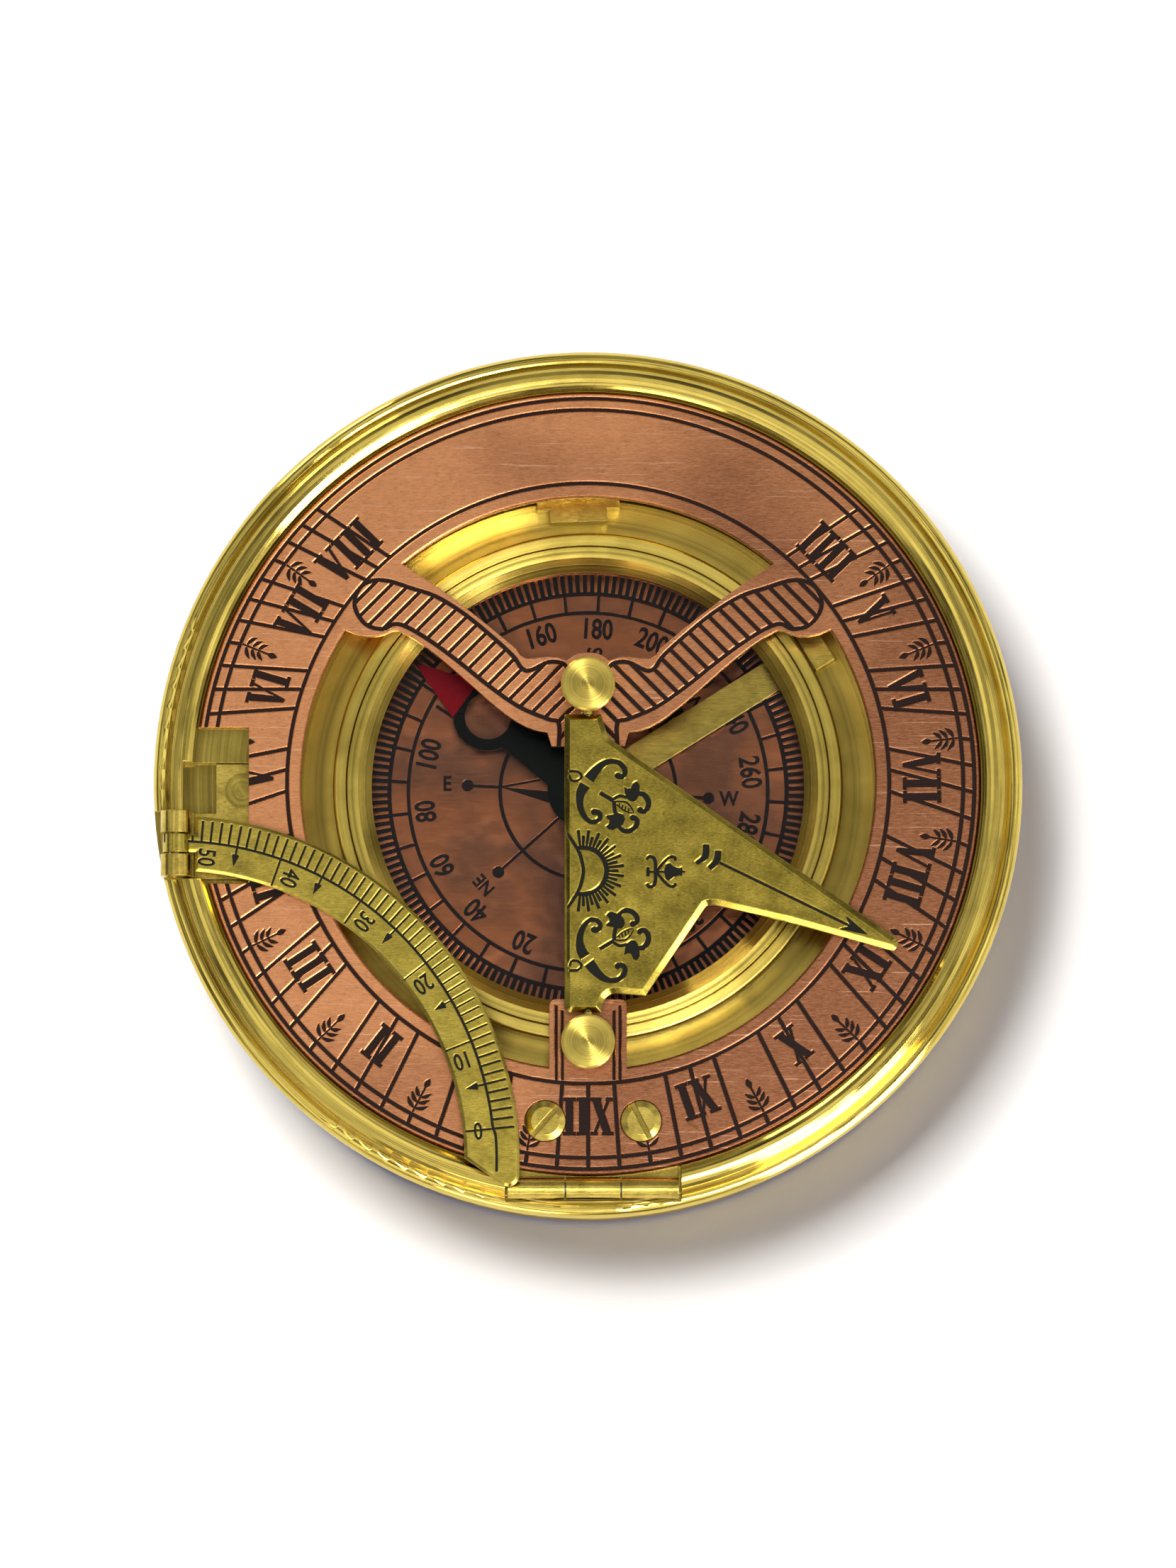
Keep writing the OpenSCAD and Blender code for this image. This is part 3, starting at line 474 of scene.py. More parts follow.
def dial_copper():
    """Satin copper, pinker where it is clean and browner in broad clouds; the browning that grows towards the
    right and the noon side is painted shade, and so is the darkening of its corners.
    """
    n = Surface("dial_copper")
    where, part = n.place()
    fine = n.noise(n.grain(where, 35, (0.6, 5.0, 0.6)), 2.5, 6.0, 0.65)
    cloud = n.noise(where, 0.045, 3.0, 0.5)
    mottle = n.noise(where, 0.5, 7.0, 0.7)
    specks = n.noise(where, 2.2, 3.0, 0.6)
    # painted shade: a lean that lays the copper browner towards the right and the noon side
    lean = n.math("ADD", n.math("MULTIPLY", part["X"], 0.01), n.math("MULTIPLY", part["Y"], -0.004))
    brown = n.spread(n.math("ADD", cloud, lean), 0.34, 0.7)
    tone = n.mix(brown, COPPER["clean"], COPPER["brown"])
    tone = n.mix(n.spread(mottle, 0.5, 0.78, 0.0, 0.5), tone, COPPER["mottled"])
    tone = n.mix(n.spread(specks, 0.66, 0.74, 0.0, 0.55), tone, COPPER["specks"])
    tone = n.mix(n.spread(fine, 0.35, 0.75, 0.0, 0.25), tone, COPPER["rubbed"])
    for turn, seed in DIAL_SCRATCHES:
        tone = n.mix(n.math("MULTIPLY", scratches(n, where, turn, seed), 0.5), tone, COPPER["scratched"])
    # painted shade: crevices and the feet of raised parts are darkened in the colour
    tone = n.mix(n.math("MULTIPLY", n.crevice_shade(1.0), 0.6), tone, COPPER["crevice_shade"])
    n.metal(tone, fine, 0.005, cloud, 0.12, 0.17)
    n.gloss(fine, 0.2, 0.34)
    return n.material


def card_copper():
    """Dark brushed copper with long streaks and smoky clouds."""
    n = Surface("card_copper")
    where = n.place()[0]
    fine = n.noise(n.grain(where, -58, (0.3, 3.4, 0.3)), 2.2, 6.0, 0.7)
    cloud = n.noise(where, 0.09, 3.0, 0.55)
    tone = n.mix(n.spread(cloud, 0.4, 0.6), COPPER["card_dark"], COPPER["card"])
    tone = n.mix(n.spread(fine, 0.5, 0.8, 0.0, 0.22), tone, COPPER["card_streaks"])
    n.metal(tone, fine, 0.002, cloud, 0.3, 0.08)
    n.gloss(fine, 0.16, 0.26)
    return n.material


def ink(name, color, rough=0.45):
    """The dark filling of an engraving, a little uneven."""
    n = Surface(name)
    uneven = n.noise(n.place()[0], 4.0, 3.0, 0.6)
    n.join(n.mix(uneven, shade(color, 0.5), shade(color, 1.5)), n.shader.inputs["Base Color"])
    n.gloss(uneven, rough * 0.8, rough * 1.3)
    n.join(n.bump(uneven, 0.01 * MM), n.shader.inputs["Normal"])
    n.shader.inputs["Specular IOR Level"].default_value = 0.15
    return n.material


def needle_lacquer(direction, red_from):
    """Black lacquer, red on the pointed end from a distance in mm."""
    n = Surface("needle_lacquer")
    where, part = n.place()
    c, s = math.cos(math.radians(direction)), math.sin(math.radians(direction))
    along = n.math("ADD", n.math("MULTIPLY", part["X"], c), n.math("MULTIPLY", part["Y"], s))
    red = n.math("GREATER_THAN", along, red_from)
    uneven = n.noise(where, 1.2, 4.0, 0.6)
    black = n.mix(uneven, (0.001, 0.001, 0.001, 1.0), (0.004, 0.005, 0.003, 1.0))
    paint = n.mix(uneven, (0.1, 0.0, 0.004, 1.0), (0.24, 0.002, 0.008, 1.0))
    n.join(n.mix(red, black, paint), n.shader.inputs["Base Color"])
    n.gloss(uneven, 0.3, 0.45)
    n.join(n.round_edges(0.12), n.shader.inputs["Normal"])
    n.shader.inputs["Specular IOR Level"].default_value = 0.03
    return n.material


def clear_glass():
    """Thin clear glass: hardly seen but for its smudged gloss."""
    n = Surface("glass")
    smudge = n.noise(n.place()[0], 0.12, 4.0, 0.6)
    n.shader.inputs["Base Color"].default_value = (0.02, 0.025, 0.025, 1.0)
    n.join(n.spread(smudge, 0.4, 0.7, 0.02, 0.09), n.shader.inputs["Roughness"])
    n.shader.inputs["Alpha"].default_value = 0.08
    n.material.surface_render_method = "BLENDED"
    return n.material


def floor_paper():
    """Pale paper, which further off is plain white to the camera, to metal and through glass."""
    n = Surface("floor_paper")
    where, part = n.place()
    uneven = n.noise(where, 0.02, 3.0, 0.5)
    path = n.new("ShaderNodeLightPath")
    looked_at = n.math("MAXIMUM", path.outputs["Is Camera Ray"], path.outputs["Is Glossy Ray"])
    looked_at = n.math("MAXIMUM", looked_at, path.outputs["Is Transmission Ray"])
    white, both = n.new("ShaderNodeEmission"), n.new("ShaderNodeMixShader")
    n.join(n.math("MULTIPLY", looked_at, n.spread(n.radius(part), *WHITE_FROM)), both.inputs[0])
    n.join(n.shader.outputs[0], both.inputs[1])
    n.join(white.outputs[0], both.inputs[2])
    n.join(both.outputs[0], n.tree.nodes["Material Output"].inputs["Surface"])
    n.join(n.mix(uneven, (0.88, 0.88, 0.88, 1.0), (0.92, 0.92, 0.92, 1.0)), n.shader.inputs["Base Color"])
    n.shader.inputs["Roughness"].default_value = 0.9
    n.shader.inputs["Specular IOR Level"].default_value = 0.1
    return n.material


def dress(material, *nodes):
    for name in nodes:
        NODES[name].data.materials.clear()
        NODES[name].data.materials.append(material)


# ---------------------------------------------------------------- the dial's engraving

DIAL_DEPTH = 0.2
LINE = 0.38  # width of the rings and the hour lines
NOON, HOUR = 270, 15  # degrees
HOUR_FROM = (0.0, 10.8)  # where the hour lines would meet
SCALE_IN, SCALE_MID, SCALE_OUT = 34.6, 43.1, 44.4
NUMERAL_R, NUMERAL_H = 38.35, 4.3
STEM_W, SERIF_H = 0.82, 0.38
SPRIG_L = 4.2
HOURS_LEFT = ("I", "II", "III", "IIII", "V", "VI", "VII", "VIII")
HOURS_RIGHT = ("XI", "X", "IX", "VIII", "VII", "VI", "V", "IIII")


def on_circle(degrees, r):
    """Where a line from the hour lines' own centre meets a circle round the middle."""
    dx, dy = math.cos(math.radians(degrees)), math.sin(math.radians(degrees))
    ox, oy = HOUR_FROM
    b = ox * dx + oy * dy
    t = -b + math.sqrt(b * b - ox * ox - oy * oy + r * r)
    return (ox + t * dx, oy + t * dy)


def numeral(text):
    """(stems, thin strokes, serifs) of a Roman numeral, its middle at the origin."""
    half = NUMERAL_H / 2
    advance = {"I": 1.55, "V": 2.7, "X": 2.75}
    x = -sum(advance[c] for c in text) / 2
    stems, thins, serifs = [], [], []

    def foot(mid, w, top):
        y = (half - SERIF_H / 2) * (1 if top else -1)
        serifs.append(bar((x + mid - w / 2, y), (x + mid + w / 2, y), SERIF_H))

    for c in text:
        x += advance[c] / 2
        if c == "I":
            stems.append(bar((x, -half), (x, half), STEM_W))
            foot(0, 1.4, True)
            foot(0, 1.4, False)
        if c == "V":
            stems.append([(x - 1.2, half), (x - 0.35, half), (x + 0.22, -half + 1.3), (x + 0.85, half),
                          (x + 1.15, half), (x + 0.2, -half), (x - 0.2, -half)])
            foot(-0.75, 1.25, True)
            foot(0.95, 0.85, True)
        if c == "X":
            stems.append([(x - 1.15, half), (x - 0.3, half), (x + 1.15, -half), (x + 0.3, -half)])
            thins.append([(x - 1.05, -half), (x - 0.75, -half), (x + 1.05, half), (x + 0.75, half)])
            foot(-0.7, 1.25, True)
            foot(0.9, 0.8, True)
            foot(-0.9, 0.8, False)
            foot(0.7, 1.25, False)
        x += advance[c] / 2
    return stems, thins, serifs


def sprig():
    """(stem, leaves) of a little wheat ear, its bud at y = 0 and its foot at y = SPRIG_L."""
    stem = bar((0, 1.0), (0, 4.15), 0.2)
    leaves = [stroke([(0, -0.1, 0.06), (0, 0.5, 0.34), (0, 1.05, 0.08)])]
    for i in range(3):
        y = 1.75 + 0.72 * i
        reach = 0.95 + 0.18 * i
        for side in (-1, 1):
            leaves.append(stroke([(side * 0.14, y + 0.42, 0.1), (side * reach * 0.6, y + 0.12, 0.22),
                                  (side * reach, y - 0.42, 0.04)], 4))
    return stem, leaves


def wing_outline():
    """The etched line inside the edge of the left wing, from the stem round to the middle."""
    return smooth([
        (-3.35, 4.2), (-3.35, 6.9), (-4.6, 7.35), (-7.9, 8.75), (-11.3, 11.1), (-14.6, 13.75), (-17.6, 16.0),
        (-20.3, 17.7), (-22.1, 18.35), (-23.6, 17.75), (-25.6, 18.3), (-26.85, 20.3), (-26.4, 22.3),
        (-24.9, 23.3), (-23.0, 23.3), (-20.3, 22.45), (-17.6, 21.55), (-14.6, 19.75), (-11.6, 17.35),
        (-8.7, 14.7), (-7.7, 13.3), (-6.7, 12.95), (-4.6, 13.9), (-2.95, 13.8), (-2.2, 13.2), (-1.2, 14.0),
        (0, 14.2)], 4)


def hatch(outline, step, w):
    """Slanting strokes across the inside of the wing's outline, closed over the middle."""
    loop = outline + [(0, outline[0][1])]
    shapes = []
    c = math.sqrt(0.5)
    across = [(-x * c + y * c) for x, y in loop]
    k = min(across) + step
    while k < max(across) - 0.3:
        hits = []
        for (a, b), p, q in zip(zip(loop, loop[1:] + loop[:1]), across, across[1:] + across[:1]):
            if (p - k) * (q - k) < 0:
                t = (k - p) / (q - p)
                hits.append((a[0] + t * (b[0] - a[0]), a[1] + t * (b[1] - a[1])))
        hits.sort()
        for a, b in zip(hits[::2], hits[1::2]):
            if math.dist(a, b) > 0.5:
                shapes.append(bar(a, b, w))
        k += step
    return shapes


def dial_cuts(top):
    depth = DIAL_DEPTH
    rings, lines, stems, thins, serifs = (Cut(top, depth) for _ in range(5))
    leaves, twigs = (Cut(top, depth, THIN_LIP) for _ in range(2))
    for r in (SCALE_IN, SCALE_MID, SCALE_OUT):
        rings.ring(r, LINE)
    hours = [(NOON, "XII")]
    hours += [(NOON - HOUR * (i + 1), text) for i, text in enumerate(HOURS_LEFT)]
    hours += [(NOON + HOUR * (i + 1), text) for i, text in enumerate(HOURS_RIGHT)]
    for way, text in hours:
        for quarter in (-HOUR / 4, 0, HOUR / 4):
            lines.add(bar(on_circle(way + quarter, SCALE_IN), on_circle(way + quarter, SCALE_OUT), LINE))
        at = on_circle(way, NUMERAL_R)
        turn = math.degrees(math.atan2(at[1], at[0])) - 90
        for cut, shapes in zip((stems, thins, serifs), numeral(text)):
            cut.add(*[placed(shape, at, turn) for shape in shapes])
    stem, leaf = sprig()
    for i in range(-len(HOURS_LEFT), len(HOURS_RIGHT)):
        way = NOON + HOUR * (i + 0.5)
        base = on_circle(way, SCALE_MID - LINE / 2)
        turn = math.degrees(math.atan2(base[1], base[0])) - 90
        bud = placed([(0, -SPRIG_L)], base, turn)[0]
        twigs.add(placed(stem, bud, turn))
        leaves.add(*[placed(shape, bud, turn) for shape in leaf])
        lines.add(bar(on_circle(way, SCALE_MID), on_circle(way, SCALE_OUT), LINE))
    outline = wing_outline()
    line = stroke([(x, y, 0.23) for x, y in outline], 1)
    left_line, right_line = (Cut(top, depth, FINE_LIP) for _ in range(2))
    left_hatch, right_hatch, tab = (Cut(top, depth) for _ in range(3))
    left_line.add(line)
    right_line.add(mirrored_x(line))
    bars = hatch(outline, 1.46, 0.42)
    left_hatch.add(*bars)
    right_hatch.add(*[mirrored_x(shape) for shape in bars])
    for side in (-1, 1):
        tab.add(bar((side * 3.65, -25.6), (side * 3.65, -34.2), 0.24))
        tab.add(bar((side * 2.95, -26.2), (side * 2.95, -34.2), 0.24))
    return [rings, lines, stems, thins, serifs, leaves, twigs, left_line, right_line, left_hatch,
            right_hatch, tab]


# ---------------------------------------------------------------- the card's engraving

CARD_DEPTH = 0.1
CARD_TURN = -3.1  # degrees that the card is turned out of the dial's axis
TICKS_IN, BOXES_OUT, BOXES_IN, ROSE_R = 22.95, 23.1, 20.9, 10.2
DEGREES_R, CORNERS_R, POINTS_R, DOTS_R = 18.9, 16.2, 16.4, 14.0


def card_way(degrees):
    """The direction, from +X, of a bearing on the card."""
    return 270 - degrees + CARD_TURN


def card_cuts(top):
    edges = []
    rings, ticks, boxes, words, rays, kites, dots = (Cut(top, CARD_DEPTH, FINE_LIP) for _ in range(7))
    rings.ring(BOXES_OUT, 0.42)
    rings.ring(BOXES_IN, 0.36)
    rings.ring(ROSE_R, 0.34)
    for i in range(180):
        way = card_way(2 * i)
        ticks.add(bar(polar(TICKS_IN, way), polar(25.35, way), 0.46))
    for i in range(36):
        way = card_way(10 * i)
        boxes.add(bar(polar(20.75, way), polar(23.3, way), 0.34))
    for i in range(18):
        way = card_way(20 * i)
        words.word(str(20 * i), 3.3, polar(DEGREES_R, way), way - 90, stretch=0.76, weight=0.08)
    for bearing, text in ((45, "NE"), (135, "SE"), (225, "SW"), (315, "NW")):
        way = card_way(bearing)
        words.word(text, 2.2, polar(CORNERS_R, way), way - 90, weight=0.06)
    for bearing, text, up in ((90, "E", 0), (270, "W", 0), (180, "S", 90), (0, "N", 90)):
        words.word(text, 2.4, polar(POINTS_R, card_way(bearing)), up, weight=0.06)
    for i in range(8):
        way = card_way(45 * i)
        dots.add(disc(polar(DOTS_R, way), 0.66))
        tip = polar(ROSE_R, way)
        if i % 2:
            rays.add(bar(polar(2.0, way), polar(13.8, way), 0.3))
            continue
        rays.add(bar(tip, polar(13.8, way), 0.3))
        kites.add([tip, polar(2.6, way + 6), polar(3.2, way + 38)])
        edge = Cut(top, CARD_DEPTH, THIN_LIP)
        edge.add(bar(tip, polar(3.0, way - 40), 0.2))
        edges.append(edge)
    return [rings, ticks, boxes, words, rays, kites, dots] + edges


# ---------------------------------------------------------------- the arc's engraving

ARC_DEPTH = 0.12
ARC_MID = (-47.4, -43.6)
ARC_IN, ARC_LINE, ARC_TICK, ARC_WORDS = 33.3, 36.7, 39.15, 35.0
ARC_BARREL_RISE = 0.75  # height of the knuckle over the arc's face
ARC_EASE = (0.35, 0.22)  # width and drop of the sloped rim of the arc's face


def arc_way(value):
    """The direction, from +X, of a latitude on the arc."""
    return 5.8 + 1.62 * value


def arc_cuts(top):
    line, ticks, marks, words = (Cut(top, ARC_DEPTH, FINE_LIP) for _ in range(4))
    path = [polar(ARC_LINE + (0.25 if i < 5 else 0), -1.8 + i * 1.6, ARC_MID) + (0.13,) for i in range(57)]
    line.add(stroke(path, 1))
    for value in range(0, 54):
        way = arc_way(value)
        ticks.add(bar(polar(ARC_LINE - 0.1, way, ARC_MID), polar(ARC_TICK, way, ARC_MID), 0.22))
    for ten in range(0, 5):
        way = arc_way(10 * ten)
        marks.add(bar(polar(ARC_IN - 0.2, way, ARC_MID), polar(ARC_LINE, way, ARC_MID), 0.2))
        way = arc_way(10 * ten + 5)
        marks.add(placed([(0, 0.1), (-0.85, 0.1), (-0.95, 0.42), (-2.25, 0), (-0.95, -0.42), (-0.85, -0.1),
                          (0, -0.1)], polar(ARC_LINE, way, ARC_MID), way))
    for ten in range(0, 6):
        way = arc_way(10 * ten) - (2.7 if ten else 0)
        at = polar(ARC_WORDS, way, ARC_MID)
        words.word(str(10 * ten), 2.8, at, way + 180, stretch=0.74, weight=0.04)
    return [line, ticks, marks, words]


def eased_top(width, drop, top):
    """Slopes the outer rim of the upper face: the face shrinks by a width, and its old edge drops."""
    def change(bm):
        bmesh.ops.dissolve_limit(bm, angle_limit=0.01, verts=bm.verts, edges=bm.edges)
        faces = [f for f in bm.faces if f.normal.z > 0.99 and abs(f.calc_center_median().z - top * MM) < 1e-5]
        made = bmesh.ops.inset_region(bm, faces=faces, thickness=width * MM, depth=0.0,
                                      use_even_offset=True)
        inner = {v for f in faces for v in f.verts}
        for v in {v for f in made["faces"] for v in f.verts} - inner:
            v.co.z -= drop * MM
        bmesh.ops.triangulate(bm, faces=bm.faces[:])
    return change


# ---------------------------------------------------------------- the gnomon's engraving

GNOMON_DEPTH = 0.22
GNOMON_EASE = (0.65, 0.42)  # width and drop of the sloped rim of the gnomon's face
MOTIF_AXIS = -10.4  # y of the line that the scrolls and the sun are mirrored about
FLEUR_AXIS = -10.5


def scroll_shapes():
    """The upper scroll and flowers as (shapes, lip) sets; the shapes of a set don't overlap."""
    arms = [
        stroke([(0.10, 0.14, 0.6), (0.84, 1.08, 0.5), (1.73, 1.87, 0.36), (2.62, 2.17, 0.27),
                (3.51, 2.02, 0.27), (4.10, 1.42, 0.29), (4.22, 0.83, 0.26), (3.92, 0.42, 0.26),
                (3.42, 0.5, 0.3)]),
        stroke([(-0.35, -0.55, 0.6), (-0.84, -1.44, 0.5), (-0.96, -2.43, 0.38), (-0.79, -3.42, 0.31),
                (-0.30, -4.31, 0.26), (0.35, -4.78, 0.24), (1.04, -4.68, 0.24), (1.40, -4.2, 0.24),
                (1.2, -3.72, 0.28), (0.72, -3.62, 0.3)])]
    stems = [
        stroke([(-2.18, 1.03, 0.14), (-1.19, 1.0, 0.14), (-0.72, 0.44, 0.14), (-1.24, -0.08, 0.14),
                (-1.93, 0.0, 0.14), (-2.14, 0.6, 0.12)], 2),
        bar((1.38, -1.44), (2.9, -2.36), 0.46),
        stroke([(5.7, -1.54, 0.22), (6.38, -1.64, 0.3), (6.87, -2.33, 0.3), (6.87, -3.03, 0.28),
                (6.48, -3.56, 0.28), (5.98, -3.5, 0.28)]),
        stroke([(3.51, -5.35, 0.22), (4.1, -5.8, 0.25), (4.8, -5.8, 0.28), (5.46, -5.3, 0.28),
                (5.62, -4.66, 0.27), (5.2, -4.2, 0.27)])]
    drops = [disc((3.42, 0.52), 0.36, 12), disc((0.7, -3.65), 0.36, 12), disc((5.95, -3.42), 0.34, 12),
             disc((5.12, -4.3), 0.34, 12)]
    flowers = [
        [(4.15, -0.75), (4.5, -0.98), (4.9, -0.95), (5.19, -0.3), (5.55, -0.12), (5.89, -0.65),
         (5.84, -1.25), (5.74, -1.84), (5.39, -2.4), (4.9, -2.4), (4.4, -2.04), (4.25, -1.44)],
        [(2.08, -4.11), (2.92, -3.95), (3.41, -3.75), (4.0, -3.92), (4.2, -4.41), (4.0, -5.0),
         (3.61, -5.4), (3.21, -5.5), (2.82, -5.7), (2.32, -5.6), (2.08, -5.3), (2.42, -5.0),
         (2.52, -4.61), (2.23, -4.41)]]
    leaf = [
        stroke([(2.82, -2.24, 0.17), (3.61, -1.8, 0.17), (4.45, -1.98, 0.17)], 3),
        stroke([(2.97, -2.4, 0.2), (3.02, -3.2, 0.22), (3.2, -4.0, 0.22)], 3),
        stroke([(3.1, -2.45, 0.08), (4.4, -2.55, 0.1), (5.2, -3.72, 0.05), (4.2, -3.5, 0.09),
                (3.25, -2.75, 0.08)], 4)]
    veins = [bar((3.62 + 0.36 * i, -2.62 - 0.18 * i), (3.5 + 0.36 * i, -3.06 - 0.18 * i), 0.14)
             for i in range(4)]
    return [(arms, BROAD_LIP), (stems, FINE_LIP), (drops, FINE_LIP), (flowers, BROAD_LIP),
            (leaf[:1], HAIR_LIP), (leaf[1:2], HAIR_LIP), (leaf[2:], HAIR_LIP), (veins, HAIR_LIP)]


def fleur_shapes():
    a = FLEUR_AXIS
    left = stroke([(7.71, a - 0.02, 0.19), (7.71, a + 0.99, 0.19), (7.47, a + 1.62, 0.19),
                   (6.97, a + 1.72, 0.17), (6.74, a + 1.36, 0.15)])
    right = stroke([(7.86, a + 0.05, 0.14), (8.56, a + 0.95, 0.16), (9.3, a + 1.62, 0.16),
                    (9.88, a + 1.66, 0.16), (10.0, a + 1.28, 0.15)])
    bud = [(8.7, a), (8.95, a + 0.85), (9.3, a + 1.0), (9.84, a + 0.55), (10.45, a + 0.38),
           (10.7, a + 0.5), (10.75, a + 0.16), (11.2, a), (10.75, a - 0.16), (10.7, a - 0.5),
           (10.45, a - 0.38), (9.84, a - 0.55), (9.3, a - 1.0), (8.95, a - 0.85)]
    cross = bar((6.8, a), (8.9, a), 0.2)
    end = bar((6.85, a - 0.5), (6.85, a + 0.5), 0.34)
    curls = [([shape], FINE_LIP) for shape in (left, right, mirrored_y(left, a), mirrored_y(right, a))]
    return curls + [([end], FINE_LIP), ([bud], BROAD_LIP), ([cross], FINE_LIP)]


def sun_shapes():
    mid = (-0.57, MOTIF_AXIS)
    ring = stroke([polar(2.68, w, mid) + (0.24,) for w in range(-104, 105, 8)], 1)
    rays = []
    for i in range(-13, 14):
        way = 7.45 * i
        reach = 4.7 if i % 2 else 4.05
        rays.append(placed([(2.8, -0.13), (reach, -0.17), (reach, 0.17), (2.8, 0.13)], mid, way))
    edge = stroke([(-2.5, -5.95, 0.17), (-1.14, -8.05, 0.17), (-0.66, -9.5, 0.17), (-0.54, -10.4, 0.17),
                   (-0.66, -11.3, 0.17), (-1.14, -12.75, 0.17), (-2.5, -14.85, 0.17)])
    return [([ring], BROAD_LIP), (rays, HAIR_LIP), ([edge], BROAD_LIP)]


def arrow_shapes():
    start, tip = (15.05, -9.45), (32.0, -17.7)
    dx, dy = tip[0] - start[0], tip[1] - start[1]
    length = math.hypot(dx, dy)
    turn = math.degrees(math.atan2(dy, dx))
    shaft = bar(start, placed([(length - 2.0, 0)], start, turn)[0], 0.26)
    head = placed([(length, 0), (length - 3.2, 0.85), (length - 2.4, 0.18), (length - 2.4, -0.18),
                   (length - 3.2, -0.85)], start, turn)
    barbs = placed([(length - 2.9, 0.95), (length - 4.1, 1.05), (length - 3.6, 0.2), (length - 3.6, -0.2),
                    (length - 4.1, -1.05), (length - 2.9, -0.95), (length - 2.9, 0)], start, turn)
    tails = [stroke([(13.5, -7.4, 0.33), (13.4, -8.75, 0.36), (12.4, -9.5, 0.2)], 4),
             stroke([(14.9, -8.1, 0.33), (14.72, -9.25, 0.36), (13.9, -10.1, 0.3)], 4)]
    return [([head] + tails, BROAD_LIP), ([shaft], BROAD_LIP)]


def gnomon_cuts(top):
    both = [(shapes + [mirrored_y(s, MOTIF_AXIS) for s in shapes], lip) for shapes, lip in scroll_shapes()]
    cuts = []
    for shapes, lip in both + fleur_shapes() + sun_shapes() + arrow_shapes():
        cut = Cut(top, GNOMON_DEPTH, lip)
        cut.add(*shapes)
        cuts.append(cut)
    return cuts


# ---------------------------------------------------------------- surroundings

AIM = Vector((0, 0, 22.95)) * MM
DISTANCE = 1.2
ELEVATION = 85.6
SENSOR = 36
PICTURE_PX, PX_PER_MM = 2212, 12.256  # the photo's height, and its scale at the rim
PICTURE_HEIGHT = PICTURE_PX / PX_PER_MM * MM
WHITE_FROM = (110, 240)  # mm from the middle, over which the floor turns white
FLOOR_GAP = 0.05  # mm between the floor and the base
ROOM_PATCHES = 4.6  # scale of the bright and dark patches of the ceiling
BRIGHT_WAY = -50  # degrees, the side from which the room is brightest
ROOM_PLAIN, ROOM_COLOR = 0.17, (0.75, 0.97, 2.1, 1)  # the light that fills the shadows
KEY_POWER = 22.5
LAMP_REACH, KEY_REACH = 1.2, 1.4
GLINTS = (  # lamps that only metal and glass see: name, direction, height, size, power, colour
    ("low_right", -50, 20, 0.55, 8, (1, 1, 1)),
    ("high_right", -50, 52, 0.42, 6, (1, 1, 1)),
    ("near_top", -62, 72, 0.2, 2.6, (1, 1, 1)),
    ("back_left", 124, 18, 0.34, 2.4, (1.0, 0.95, 0.8)),
    ("front_left", -103, 27, 0.36, 1.9, (1.0, 0.96, 0.84)))


def camera():
    data = bpy.data.cameras.new("camera")
    data.sensor_width = SENSOR
    data.lens = SENSOR * DISTANCE / PICTURE_HEIGHT
    data.clip_start, data.clip_end = 0.01, 20
    made = bpy.data.objects.new("camera", data)
    e = math.radians(ELEVATION)
    back = Vector((0, -math.cos(e), math.sin(e)))
    made.location = AIM + back * DISTANCE
    made.rotation_mode = "QUATERNION"
    made.rotation_quaternion = (-back).to_track_quat("-Z", "Y")
    bpy.context.scene.collection.objects.link(made)
    bpy.context.scene.camera = made


def lamp(name, way, height, reach, size, power, color, glossy, diffuse):
    """A square soft lamp that looks at the object from a direction and a height in degrees."""
    data = bpy.data.lights.new(name, "AREA")
    data.size = size
    data.energy = power
    data.color = color
    made = bpy.data.objects.new(name, data)
    a, e = math.radians(way), math.radians(height)
    back = Vector((math.cos(a) * math.cos(e), math.sin(a) * math.cos(e), math.sin(e)))
    made.location = back * reach
    made.rotation_mode = "QUATERNION"
    made.rotation_quaternion = (-back).to_track_quat("-Z", "Y")
    made.visible_camera = False
    made.visible_glossy = glossy
    made.visible_diffuse = diffuse
    bpy.context.scene.collection.objects.link(made)


